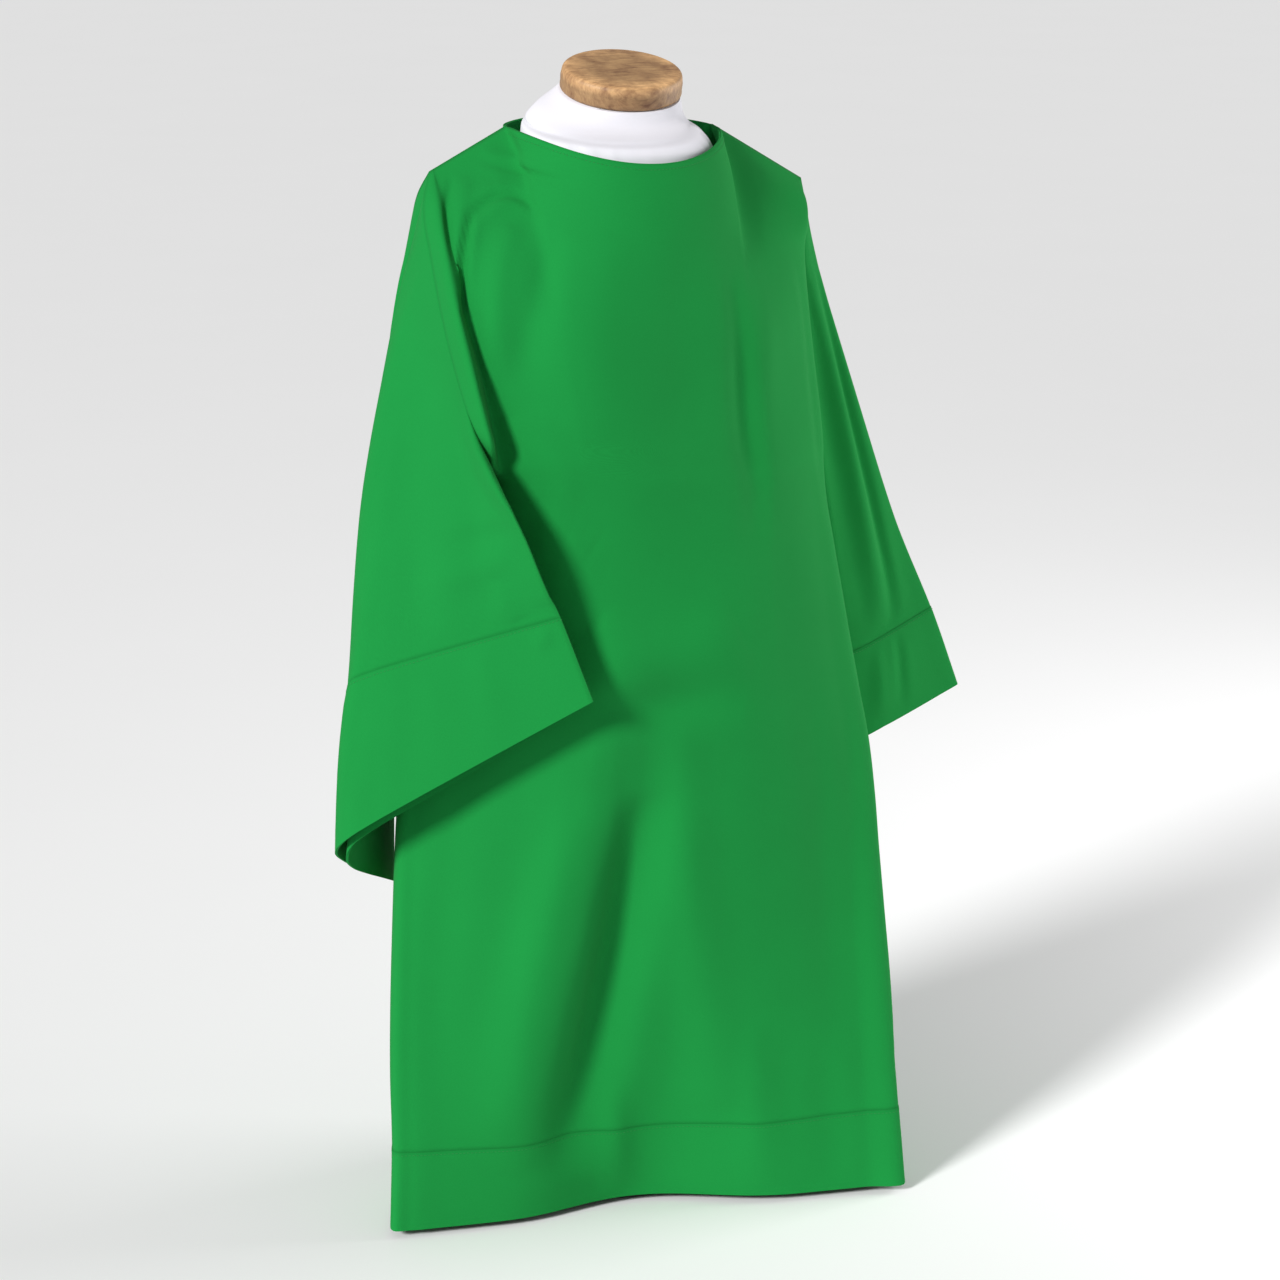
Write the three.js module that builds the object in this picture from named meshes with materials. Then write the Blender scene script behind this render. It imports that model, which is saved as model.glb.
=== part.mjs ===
// A dalmatic, the wide-sleeved outer vestment of a deacon, worn by a limbless dress form.
// Millimetres, +Z up. The garment faces -Y and its right side is -X.
// The origin is the centre of the underside of the stand's base.
import * as THREE from 'three';

// ---- Driving sizes -------------------------------------------------------------------------
const WALL = 2;                 // one layer of the cloth
const TURNED_WALL = 2.8;        // the doubled cloth of a turned hem or cuff
const FACING_WALL = 1.2;        // the narrow facing inside the neck
const SEAM_GAP = 0.3;           // between two pieces that are sewn together
const SEAM_RETREAT = 0.18;      // how far each piece stays back from the seam's own line
const FACING_GAP = 0.4;         // between the facing and the cloth it lies under
const MITRE_LIMIT = 0.62;       // a wall is never drawn out further than this at a sharp seam

const SHOULDER_RIGHT = 1137;    // height of the right shoulder tip
const SHOULDER_LEFT = 1112;     // height of the left shoulder tip
const UNDERARM_RIGHT = 858;     // height where the right sleeve meets the side seam
const UNDERARM_LEFT = 830;
const HEM_SEAM = 97;            // height of the stitching of the deep hem
const HEM_EDGE = 9;             // height of the hem's edge at the sides
const BASE_SETBACK = 20;        // the base's centre lies this far behind the garment's own axis

const ARMHOLE_ROWS = 12;        // rows of the mesh from shoulder to underarm
const SIDE_ROWS = 13;           // rows from underarm to hem stitching
const HEM_ROWS = 2;
const SHOULDER_COLUMNS = 3;     // columns on each shoulder seam
const NECK_COLUMNS = 14;        // columns along half the neckline, front or back
const DRAPE_ROWS = 7;           // rows over which the shoulder's shape fades into the chest

// ---- Tables ----------------------------------------------------------------------------------
// Each table has named columns and one row for each section, from the top down.
function table(columns, rows) {
  const names = columns.split(' ');
  return rows.map((row) => Object.fromEntries(names.map((name, i) => [name, row[i]])));
}

// The middle of the body at each height: how far forward the front hangs and how far back the
// back, and how flat the front is (2 for a plain arc, more for a flat face with tight corners).
const MIDDLE = table('z front back flatness', [
  [1137, -128, 84, 2.6],
  [1060, -140, 102, 2.8],
  [980, -148, 109, 2.8],
  [900, -151, 108, 2.7],
  [790, -157, 106, 2.6],
  [640, -166, 108, 2.5],
  [520, -158, 111, 2.5],
  [400, -148, 114, 2.4],
  [250, -137, 119, 2.4],
  [97, -129, 125, 2.4],
  [9, -127, 129, 2.4],
]);

// The garment's right side. seam: the front's edge, on the armhole and then on the side seam.
// fold: the crest of the cloth in front of the armhole, and then the skirt's corner.
// inner: the bottom of the crease behind that crest, and then the start of the flat front.
// back: the back's edge on the armhole; below the underarm it is the side seam too.
const RIGHT_SIDE = table('z seamX seamY foldX foldY innerX innerY backX backY', [
  [1137, -206, 10, -203, 9, -199, 9, -206, 10],
  [1105, -221, -17, -211, -33, -199, -29, -213, 38],
  [1060, -223, -48, -214, -71, -203, -61, -212, 60],
  [1010, -222, -76, -212, -101, -199, -86, -208, 66],
  [960, -217, -99, -206, -124, -192, -101, -205, 58],
  [910, -209, -123, -197, -141, -183, -110, -201, -18],
  [880, -199, -130, -190, -143, -177, -112, -194, -84],
  [858, -187, -120, -184, -127, -173, -113, -187, -120],
  [836, -177, -86, -174, -99, -165, -112, -177, -86],
  [812, -184, -62, -182, -82, -170, -103, -184, -62],
  [785, -200, -44, -200, -66, -187, -88, -200, -44],
  [710, -226, -18, -231, -51, -218, -70, -226, -18],
  [620, -238, -2, -246, -44, -232, -64, -238, -2],
  [480, -252, 10, -265, -41, -249, -60, -252, 10],
  [350, -258, 10, -276, -50, -259, -67, -258, 10],
  [200, -262, 0, -286, -61, -268, -77, -262, 0],
  [97, -263, -8, -289, -70, -271, -84, -263, -8],
  [9, -267, -14, -295, -79, -276, -90, -267, -14],
]);

// The garment's left side, where the front's edge turns straight back to the armhole.
const LEFT_SIDE = table('z seamX seamY foldX foldY backX backY', [
  [1112, 206, 10, 203, 9, 206, 10],
  [1080, 206, 2, 208, -16, 208, 45],
  [1040, 202, 10, 206, -8, 208, 66],
  [984, 202, 6, 206, -14, 206, 74],
  [920, 206, 0, 210, -22, 205, 66],
  [870, 209, -8, 213, -32, 207, 36],
  [830, 212, -18, 215, -38, 212, -18],
  [790, 212, -8, 216, -42, 212, -8],
  [705, 220, -2, 226, -57, 220, -2],
  [606, 230, -5, 239, -72, 230, -5],
  [506, 241, -10, 253, -86, 241, -10],
  [350, 248, -22, 260, -106, 248, -22],
  [200, 254, -46, 267, -133, 254, -46],
  [97, 260, -63, 271, -149, 260, -63],
  [9, 266, -76, 275, -162, 266, -76],
]);

// Folds of the panels. across: the place from the right edge (0) to the left edge (1) of the
// panel's face, at the fold's top and bottom. depth: out from the panel, or into it if negative.
const FOLD_COLUMNS = 'top bottom acrossTop acrossBottom widthTop widthBottom depthTop depthBottom';
const FRONT_FOLDS = table(FOLD_COLUMNS, [
  [600, 0, 0.42, 0.47, 60, 155, 0, -37],
  [720, 0, 0.35, 0.24, 56, 70, 9, 3],
  [740, 0, 0.62, 0.70, 70, 90, 6, 4],
  [1075, 880, 0.16, 0.08, 34, 30, -4, -5],
  [1060, 780, 0.66, 0.70, 46, 60, -3, -6],
]);
const BACK_FOLDS = table(FOLD_COLUMNS, [
  [640, 0, 0.30, 0.24, 60, 80, 0, -22],
  [700, 0, 0.52, 0.50, 60, 80, 2, 12],
  [640, 0, 0.74, 0.78, 60, 80, 0, -20],
  [1000, 700, 0.36, 0.40, 60, 70, -3, -5],
  [1000, 700, 0.66, 0.62, 60, 70, -3, -5],
]);

// Sleeves. along: 0 at the armhole, 1 at the cuff's stitching and more at the cuff's edge.
// Each sleeve hangs flattened, its two layers side by side, and is bent once along its length.
// low: the seam under the arm. bend: the bend. top: the fold that runs on from the shoulder.
// bendAt: the bend's place from low (0) to top (1), and soft: how gently it turns.
// gap: between the layers. drop: how much lower the hidden layer hangs.
const SLEEVE_COLUMNS = 'along lowX lowY lowZ bendX bendY bendZ topX topY topZ bendAt soft gap drop';
const SLEEVE_RIGHT = table(SLEEVE_COLUMNS, [
  [0, -187, -120, 858, -226, -36, 1075, -206, 10, 1137, 0.80, 0.07, 3, 0],
  [0.18, -183, -169, 826, -253, -4, 1000, -224, 24, 1030, 0.80, 0.07, 5, 0],
  [0.36, -169, -183, 790, -282, -18, 912, -235, 35, 915, 0.79, 0.07, 8, 0],
  [0.56, -156, -187, 755, -310, -33, 812, -241, 44, 790, 0.77, 0.07, 11, 0],
  [0.76, -146, -187, 731, -326, -45, 722, -244, 50, 662, 0.74, 0.07, 12, 2],
  [1, -134, -187, 707, -343, -59, 626, -245, 56, 512, 0.70, 0.07, 12, 3],
  [1.3, -104, -201, 619, -372, -68, 442, -246, 62, 355, 0.64, 0.09, 12, 9],
]);
const SLEEVE_LEFT = table(SLEEVE_COLUMNS, [
  [0, 212, -18, 830, 205, 8, 960, 206, 10, 1112, 0.46, 0.10, 8, 0],
  [0.18, 216, 10, 795, 218, 13, 900, 230, 31, 1036, 0.46, 0.10, 9, 0],
  [0.36, 224, 52, 748, 234, 23, 820, 264, 47, 938, 0.46, 0.10, 10, 0],
  [0.56, 234, 96, 696, 250, 32, 726, 308, 65, 826, 0.46, 0.10, 11, 0],
  [0.76, 242, 136, 652, 262, 37, 640, 358, 83, 708, 0.46, 0.10, 11, 0],
  [1, 250, 170, 610, 271, 41, 556, 413, 100, 597, 0.46, 0.10, 11, 0],
  [1.3, 258, 206, 530, 281, 44, 450, 457, 115, 495, 0.46, 0.10, 11, 0],
]);
const CUFF_EDGE = 1.3;          // the cuff's edge on the sleeve's own scale
const SLEEVE_ROWS = 13;         // rows from the armhole to the cuff's stitching
const CUFF_ROWS = 3;
const ARMHOLE_REACH = 0.5;      // how far down the sleeve the armhole's own curve is felt

// ---- Small tools -------------------------------------------------------------------------------
const mix = THREE.MathUtils.lerp;
const point = (x, y, z) => new THREE.Vector3(x, y, z);

// A smooth run through a table's rows, read at a value of its first column.
function readTable(rows, value) {
  const key = Object.keys(rows[0])[0];
  const last = rows.length - 1;
  const falling = rows[last][key] < rows[0][key];
  const isPast = (row) => (falling ? value < row[key] : value > row[key]);
  let i = 0;
  while (i < last - 1 && isPast(rows[i + 1])) i += 1;
  const [from, to] = [rows[i], rows[i + 1]];
  const [before, after] = [rows[Math.max(i - 1, 0)], rows[Math.min(i + 2, last)]];
  const span = to[key] - from[key];
  const t = THREE.MathUtils.clamp((value - from[key]) / span, 0, 1);
  const read = {};
  for (const name of Object.keys(from)) {
    const slopeFrom = (to[name] - before[name]) / (to[key] - before[key]) * span;
    const slopeTo = (after[name] - from[name]) / (after[key] - from[key]) * span;
    read[name] = hermite(from[name], to[name], slopeFrom, slopeTo, t);
  }
  return read;
}

function hermite(from, to, slopeFrom, slopeTo, t) {
  const rise = t * t * (3 - 2 * t);
  const leave = t * (1 - t) * (1 - t);
  const arrive = t * t * (t - 1);
  return mix(from, to, rise) + slopeFrom * leave + slopeTo * arrive;
}

// A closed solid from two grids of points with the same rows and columns: its faces and its rims.
function solidBetween(outer, inner) {
  const rows = outer.length;
  const columns = outer[0].length;
  const positions = [];
  for (const grid of [outer, inner]) {
    for (const row of grid) row.forEach((p) => positions.push(p.x, p.y, p.z));
  }
  const at = (layer, r, c) => (layer * rows + r) * columns + c;
  const index = [];
  const quad = (a, b, c, d) => index.push(a, b, c, a, c, d);
  const end = columns - 1;
  for (let r = 0; r < rows - 1; r += 1) {
    for (let c = 0; c < end; c += 1) {
      quad(at(0, r, c), at(0, r + 1, c), at(0, r + 1, c + 1), at(0, r, c + 1));
      quad(at(1, r, c), at(1, r, c + 1), at(1, r + 1, c + 1), at(1, r + 1, c));
    }
    quad(at(0, r, 0), at(1, r, 0), at(1, r + 1, 0), at(0, r + 1, 0));
    quad(at(0, r, end), at(0, r + 1, end), at(1, r + 1, end), at(1, r, end));
  }
  for (let c = 0; c < end; c += 1) {
    quad(at(0, 0, c), at(0, 0, c + 1), at(1, 0, c + 1), at(1, 0, c));
    quad(at(0, rows - 1, c), at(1, rows - 1, c), at(1, rows - 1, c + 1), at(0, rows - 1, c + 1));
  }
  return facingOut(positions, index);
}

// Turns every triangle round where the shell's volume comes out negative.
function facingOut(positions, index) {
  const corner = (i) => point(positions[3 * i], positions[3 * i + 1], positions[3 * i + 2]);
  let volume = 0;
  for (let i = 0; i < index.length; i += 3) {
    const [a, b, c] = [corner(index[i]), corner(index[i + 1]), corner(index[i + 2])];
    volume += a.dot(b.cross(c));
  }
  if (volume < 0) index.reverse();
  const geometry = new THREE.BufferGeometry();
  geometry.setAttribute('position', new THREE.Float32BufferAttribute(positions, 3));
  geometry.setIndex(index);
  geometry.computeVertexNormals();
  return geometry;
}

// ---- The body: front and back ---------------------------------------------------------------
// Rows run from the shoulder and neckline to the hem. Each row has a height at each side.
function bodyRows() {
  const rows = [];
  for (let i = 0; i <= ARMHOLE_ROWS; i += 1) {
    const t = i / ARMHOLE_ROWS;
    rows.push([mix(SHOULDER_RIGHT, UNDERARM_RIGHT, t), mix(SHOULDER_LEFT, UNDERARM_LEFT, t)]);
  }
  for (let i = 1; i <= SIDE_ROWS; i += 1) {
    const t = (i / SIDE_ROWS) ** 1.35;
    rows.push([mix(UNDERARM_RIGHT, HEM_SEAM, t), mix(UNDERARM_LEFT, HEM_SEAM, t)]);
  }
  for (let i = 1; i <= HEM_ROWS; i += 1) {
    const height = mix(HEM_SEAM, HEM_EDGE, i / HEM_ROWS);
    rows.push([height, height]);
  }
  return rows;
}

const NECK_RIGHT = point(-124, 10, 1180);
const NECK_LEFT = point(108, 20, 1172);
const TIP_RIGHT = point(-206, 10, SHOULDER_RIGHT);
const TIP_LEFT = point(206, 10, SHOULDER_LEFT);
const FRONT_NECK = { depth: -133, dip: -24 };   // from the neck points to the middle of the front
const BACK_NECK = { depth: 62, dip: 14 };

// Places across the flat front at which the columns stand, from the crease to the left corner.
function columnPlaces() {
  const start = RIGHT_SIDE[0].innerX;
  const width = LEFT_SIDE[0].foldX - start;
  const neckStart = (NECK_RIGHT.x - start) / width;
  const neckEnd = (NECK_LEFT.x - start) / width;
  const places = [];
  for (let i = 1; i < SHOULDER_COLUMNS; i += 1) places.push(neckStart * i / SHOULDER_COLUMNS);
  for (let i = 0; i <= NECK_COLUMNS; i += 1) places.push(mix(neckStart, neckEnd, i / NECK_COLUMNS));
  for (let i = 1; i < SHOULDER_COLUMNS; i += 1) places.push(mix(neckEnd, 1, i / SHOULDER_COLUMNS));
  return places;
}

// The top edge: right shoulder seam, neckline, left shoulder seam, one point for each column. The
// columns stand on the shoulders at shares of the way from the tip to the neck.
const ON_SHOULDER_RIGHT = [0, 0.04, 0.09, 0.39, 0.70, 1];
const ON_SHOULDER_LEFT = [1, 0.68, 0.36, 0.10, 0];

function topEdge(neck) {
  const edge = ON_SHOULDER_RIGHT.map((t) => TIP_RIGHT.clone().lerp(NECK_RIGHT, t));
  for (let i = 1; i < NECK_COLUMNS; i += 1) {
    const angle = Math.PI * i / NECK_COLUMNS;
    const t = (1 - Math.cos(angle)) / 2;
    const p = NECK_RIGHT.clone().lerp(NECK_LEFT, t);
    p.y += neck.depth * Math.sin(angle);
    p.z += neck.dip * Math.sin(angle) ** 2;
    edge.push(p);
  }
  return [...edge, ...ON_SHOULDER_LEFT.map((t) => TIP_LEFT.clone().lerp(NECK_LEFT, t))];
}

// How far a panel's folds move a point that lies at one place across it and at one height.
function foldDepth(folds, across, z, faceWidth) {
  let depth = 0;
  for (const fold of folds) {
    const t = THREE.MathUtils.clamp((fold.top - z) / (fold.top - fold.bottom), 0, 1);
    const offset = (across - mix(fold.acrossTop, fold.acrossBottom, t)) * faceWidth;
    const width = mix(fold.widthTop, fold.widthBottom, t);
    const fadeIn = THREE.MathUtils.smoothstep(fold.top - z, 0, 120);
    const fadeOut = fold.bottom > 0 ? THREE.MathUtils.smoothstep(z - fold.bottom, 0, 80) : 1;
    const swell = Math.exp(-((offset / width) ** 2) * 2);
    depth += mix(fold.depthTop, fold.depthBottom, t) * swell * fadeIn * fadeOut;
  }
  return depth * (1 - Math.abs(2 * across - 1) ** 8);
}

// One row of the front, before the shoulder's shape is added.
function frontRow(zRight, zLeft, places) {
  const right = readTable(RIGHT_SIDE, zRight);
  const left = readTable(LEFT_SIDE, zLeft);
  const middle = readTable(MIDDLE, (zRight + zLeft) / 2);
  const bulge = middle.front - (right.innerY + left.foldY) / 2;
  const width = left.foldX - right.innerX;
  const row = [
    point(right.seamX, right.seamY, zRight),
    point(right.foldX, right.foldY, zRight),
    point(right.innerX, right.innerY, zRight),
  ];
  for (const t of places) {
    const z = mix(zRight, zLeft, t);
    const round = 1 - Math.abs(2 * t - 1) ** middle.flatness;
    const y = mix(right.innerY, left.foldY, t) + bulge * round - foldDepth(FRONT_FOLDS, t, z, width);
    row.push(point(mix(right.innerX, left.foldX, t), y, z));
  }
  row.push(point(left.foldX, left.foldY, zLeft), point(left.seamX, left.seamY, zLeft));
  return row;
}

// The back's edge: on the armhole above the underarm, and on the front's own edge below it.
function backEdge(side, z, underarm) {
  const read = readTable(side, z);
  return z > underarm ? { x: read.backX, y: read.backY } : { x: read.seamX, y: read.seamY };
}

const BACK_FLAT = [0.05, 0.97];  // the stretch of the back that takes the front's own columns

function backRow(zRight, zLeft, places) {
  const right = backEdge(RIGHT_SIDE, zRight, UNDERARM_RIGHT);
  const left = backEdge(LEFT_SIDE, zLeft, UNDERARM_LEFT);
  const middle = readTable(MIDDLE, (zRight + zLeft) / 2);
  const bulge = middle.back - (right.y + left.y) / 2;
  const width = left.x - right.x;
  const [flatStart, flatEnd] = BACK_FLAT;
  const across = places.map((p) => mix(flatStart, flatEnd, p));
  return [0, flatStart * 0.4, flatStart, ...across, flatEnd, 1].map((t) => {
    const z = mix(zRight, zLeft, t);
    const round = (1 - Math.abs(2 * t - 1) ** 2.4) ** 0.8;
    const y = mix(right.y, left.y, t) + bulge * round + foldDepth(BACK_FOLDS, t, z, width);
    return point(mix(right.x, left.x, t), y, z);
  });
}

// A panel's grid of points: its rows, drawn up to the shoulder seams and the neckline.
function panelGrid(rowMaker, neck) {
  const places = columnPlaces();
  const edge = topEdge(neck);
  const rows = bodyRows().map(([zRight, zLeft]) => rowMaker(zRight, zLeft, places));
  const rise = edge.map((p, c) => p.clone().sub(rows[0][c]));
  return rows.map((row, r) => {
    const share = Math.max(0, 1 - r / DRAPE_ROWS) ** 2;
    return row.map((p, c) => p.clone().addScaledVector(rise[c], share));
  });
}

// ---- The sleeves ---------------------------------------------------------------------------------
// One layer's point at a place from the underarm seam (0) to the top fold (1).
function sleevePoint(station, s) {
  const bent = (x) => (x + Math.hypot(x, station.soft)) / 2;
  const start = bent(-station.bendAt);
  const past = (bent(s - station.bendAt) - start) / (bent(1 - station.bendAt) - start);
  const before = (s - past * (1 - station.bendAt)) / station.bendAt;
  const low = point(station.lowX, station.lowY, station.lowZ);
  const bend = point(station.bendX, station.bendY, station.bendZ);
  const top = point(station.topX, station.topY, station.topZ);
  const p = low.clone().addScaledVector(bend.clone().sub(low), before);
  return p.addScaledVector(top.sub(bend), past);
}

// The closed line round a sleeve at one place along it: out along the visible layer, from the
// underarm seam to the top fold, and back along the hidden one.
function sleeveLoop(stations, along, side) {
  const station = readTable(stations, along);
  const next = readTable(stations, Math.min(along + 0.05, CUFF_EDGE));
  const previous = readTable(stations, Math.max(along - 0.05, 0));
  const visible = [];
  const hidden = [];
  for (let j = 0; j <= ARMHOLE_ROWS; j += 1) {
    const s = j / ARMHOLE_ROWS;
    const p = sleevePoint(station, s);
    const down = sleevePoint(next, s).sub(sleevePoint(previous, s)).normalize();
    const ahead = sleevePoint(station, Math.min(Math.max(s, 0.3) + 0.02, 1));
    const across = ahead.sub(sleevePoint(station, Math.max(s, 0.3) - 0.02));
    const inward = across.cross(down).normalize().multiplyScalar(side);
    const apart = station.gap * (1 - Math.abs(2 * s - 1) ** 6) ** 0.6;
    visible.push(p);
    const behind = p.clone().addScaledVector(inward, apart);
    hidden.push(behind.addScaledVector(down, station.drop * Math.sin(Math.PI * s)));
  }
  return [...visible, ...hidden.reverse().slice(1)];
}

// The armhole as a line in the same order as a sleeve's: front edge up, back edge down.
function armholeLoop(column) {
  const up = [];
  for (let r = ARMHOLE_ROWS; r >= 0; r -= 1) up.push(frontGrid[r][column].clone());
  const down = [];
  for (let r = 1; r <= ARMHOLE_ROWS; r += 1) down.push(backGrid[r][column].clone());
  return [...up, ...down];
}

// A sleeve's rows between two places. Near the armhole they keep the armhole's own curve.
function sleeveRows(stations, column, side, from, to, count) {
  const armhole = armholeLoop(column);
  const start = sleeveLoop(stations, 0, side);
  const rows = [];
  for (let r = 0; r <= count; r += 1) {
    const along = mix(from, to, r / count);
    const share = Math.max(0, 1 - along / ARMHOLE_REACH) ** 2;
    rows.push(sleeveLoop(stations, along, side).map((p, c) => (
      p.addScaledVector(armhole[c].clone().sub(start[c]), share)
    )));
  }
  return rows;
}

// ---- From sheets to walls -----------------------------------------------------------------------
// Normals are shared by all sheets that meet at a seam, so that their walls meet in one plane.
const keyOf = (p) => [p.x, p.y, p.z].map((v) => Math.round(v * 20)).join(' ');

function sharedNormals(sheets) {
  const normals = new Map();
  const add = (p, n) => {
    const key = keyOf(p);
    if (!normals.has(key)) normals.set(key, point(0, 0, 0));
    normals.get(key).add(n);
  };
  for (const { grid, turn } of sheets) {
    for (let r = 0; r < grid.length - 1; r += 1) {
      for (let c = 0; c < grid[0].length - 1; c += 1) {
        const corners = [grid[r][c], grid[r + 1][c], grid[r + 1][c + 1], grid[r][c + 1]];
        const normal = corners[2].clone().sub(corners[0]).cross(corners[3].clone().sub(corners[1]));
        normal.normalize().multiplyScalar(turn);
        corners.forEach((p) => add(p, normal));
      }
    }
  }
  normals.forEach((n) => n.normalize());
  return normals;
}

// The way in from a seam at an edge point: square to the seam and to the cloth's own direction.
function inFromSeam(p, before, after, neighbour, normal) {
  const away = normal.clone().cross(after.clone().sub(before)).normalize();
  return away.dot(neighbour.clone().sub(p)) < 0 ? away.negate() : away;
}

// A sheet's wall. sewn: which of its four edges are sewn to another piece. inset: how far in from
// the sheet the wall's middle lies. Stitching draws a turned edge down to one layer's thickness.
function sheetWall({ grid, turn }, normals, wall, sewn, inset = 0) {
  const rows = grid.length - 1;
  const columns = grid[0].length - 1;
  const middle = grid.map((row, r) => row.map((p, c) => {
    const normal = normals.get(keyOf(p));
    const [up, down] = [grid[Math.max(r - 1, 0)][c], grid[Math.min(r + 1, rows)][c]];
    const [left, right] = [row[Math.max(c - 1, 0)], row[Math.min(c + 1, columns)]];
    const edges = {
      left: c === 0 && [up, down, right],
      right: c === columns && [up, down, left],
      top: r === 0 && [left, right, down],
      bottom: r === rows && [left, right, up],
    };
    const q = p.clone();
    for (const [name, edge] of Object.entries(edges)) {
      if (edge && sewn.includes(name)) q.addScaledVector(inFromSeam(p, ...edge, normal), SEAM_RETREAT);
    }
    return q;
  }));
  const own = sharedNormals([{ grid, turn }]);
  const layer = (side) => middle.map((row, r) => row.map((p, c) => {
    const normal = normals.get(keyOf(grid[r][c]));
    const mitre = Math.max(normal.dot(own.get(keyOf(grid[r][c]))), MITRE_LIMIT);
    const thickness = r === 0 ? Math.min(wall, WALL) : wall;
    return p.clone().addScaledVector(normal, (side * thickness / 2 - inset) / mitre);
  }));
  return solidBetween(layer(1), layer(-1));
}

// ---- Pieces of cloth ------------------------------------------------------------------------------
const frontGrid = panelGrid(frontRow, FRONT_NECK);
const backGrid = panelGrid(backRow, BACK_NECK);
const lastColumn = frontGrid[0].length - 1;
const stitchRow = ARMHOLE_ROWS + SIDE_ROWS;

const sleeveRight = [SLEEVE_RIGHT, 0, -1];
const sleeveLeft = [SLEEVE_LEFT, lastColumn, 1];
const sheets = {
  front: { grid: frontGrid.slice(0, stitchRow + 1), turn: 1 },
  hem_front: { grid: frontGrid.slice(stitchRow), turn: 1 },
  back: { grid: backGrid.slice(0, stitchRow + 1), turn: -1 },
  hem_back: { grid: backGrid.slice(stitchRow), turn: -1 },
  sleeve_right: { grid: sleeveRows(...sleeveRight, 0, 1, SLEEVE_ROWS), turn: -1 },
  cuff_right: { grid: sleeveRows(...sleeveRight, 1, CUFF_EDGE, CUFF_ROWS), turn: -1 },
  sleeve_left: { grid: sleeveRows(...sleeveLeft, 0, 1, SLEEVE_ROWS), turn: 1 },
  cuff_left: { grid: sleeveRows(...sleeveLeft, 1, CUFF_EDGE, CUFF_ROWS), turn: 1 },
};
const clothNormals = sharedNormals(Object.values(sheets));

// The neck facing lies under the first row of the panels, from one shoulder seam to the other.
const underNeck = (grid) => grid.slice(0, 2).map((row) => row.slice(4, -3));
const facings = {
  facing_front: { grid: underNeck(frontGrid), turn: 1 },
  facing_back: { grid: underNeck(backGrid), turn: -1 },
};

const SEWN_EDGES = {
  front: 'left right top bottom',
  back: 'left right top bottom',
  hem_front: 'left right top',
  hem_back: 'left right top',
  sleeve_right: 'left right top bottom',
  sleeve_left: 'left right top bottom',
  cuff_right: 'left right top',
  cuff_left: 'left right top',
};

// ---- The dress form and its stand ---------------------------------------------------------------
const FORM_SIDES = 36;
const BASE_SIDES = 49;                              // odd, so that one facet holds the centre
const FORM_BOTTOM = 600;
const FORM_ROWS = 6;                                // rows of the torso below the chest
const ROUNDED_FOOT = 0.93;                          // its underside's share of the ring above it
const UNDER_CLOTH = [3.6, 0.7, 0.9, 1.6, 3, 5, 7];   // the torso below the cloth, from row 1 on
const WAIST = { top: 0.05, bottom: 0.16 };          // how much narrower it is than the cloth
const NECK_ROUNDNESS = 0.95;                        // 1 for an ellipse, less for a fuller oval
const NECK = table('z right left front back lean', [
  [1213, 64, 62, -62, 54, 1],
  [1207, 74, 63, -63, 54, 0.95],
  [1198, 91, 64, -66, 55, 0.85],
  [1187, 105, 68, -74, 57, 0.5],
  [1175, 110, 80, -92, 60, 0.2],
  [1161, 110, 88, -102, 62, 0.05],
  [1147, 105, 90, -105, 63, 0],
]);
const CAP = { x: -3, y: -4, z: 1213.4, halfWidth: 64, halfDepth: 60, thickness: 25, tilt: 15.5 };
const BASE = { radius: 98, rim: 12, hub: 30, height: 26 };
const POLE = { radius: 13, bottom: BASE.height, top: FORM_BOTTOM, sides: 24 };

// A point of the neck's oval section, which reaches a different way to each side.
function ovalPoint(section, angle) {
  const fuller = (v) => Math.sign(v) * Math.abs(v) ** NECK_ROUNDNESS;
  const across = fuller(Math.cos(angle));
  const halfDepth = (section.back - section.front) / 2;
  const x = CAP.x + across * (across < 0 ? section.right : section.left);
  return point(x, section.front + halfDepth * (1 + fuller(Math.sin(angle))), section.z);
}

// A solid through closed rings of points, with a fanned face at each end. From the place turnedFrom
// round the ring its squares are cut along their other diagonal.
function ringSolid(rings, turnedFrom = Infinity) {
  const count = rings[0].length;
  const positions = rings.flatMap((ring) => ring.flatMap((p) => [p.x, p.y, p.z]));
  const index = [];
  for (let r = 0; r < rings.length - 1; r += 1) {
    for (let i = 0; i < count; i += 1) {
      const a = r * count + i;
      const b = r * count + (i + 1) % count;
      if (i < turnedFrom) index.push(a, a + count, b + count, a, b + count, b);
      else index.push(a, a + count, b, b, a + count, b + count);
    }
  }
  const last = (rings.length - 1) * count;
  for (let i = 1; i < count - 1; i += 1) {
    index.push(0, i, i + 1, last, last + i + 1, last + i);
  }
  return facingOut(positions, index);
}

function neckGeometry() {
  const slope = Math.tan(THREE.MathUtils.degToRad(CAP.tilt));
  return ringSolid(NECK.map((section) => Array.from({ length: FORM_SIDES }, (_, i) => {
    const p = ovalPoint(section, 2 * Math.PI * i / FORM_SIDES);
    p.z += section.lean * slope * (p.y - CAP.y);
    return p;
  })));
}

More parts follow.
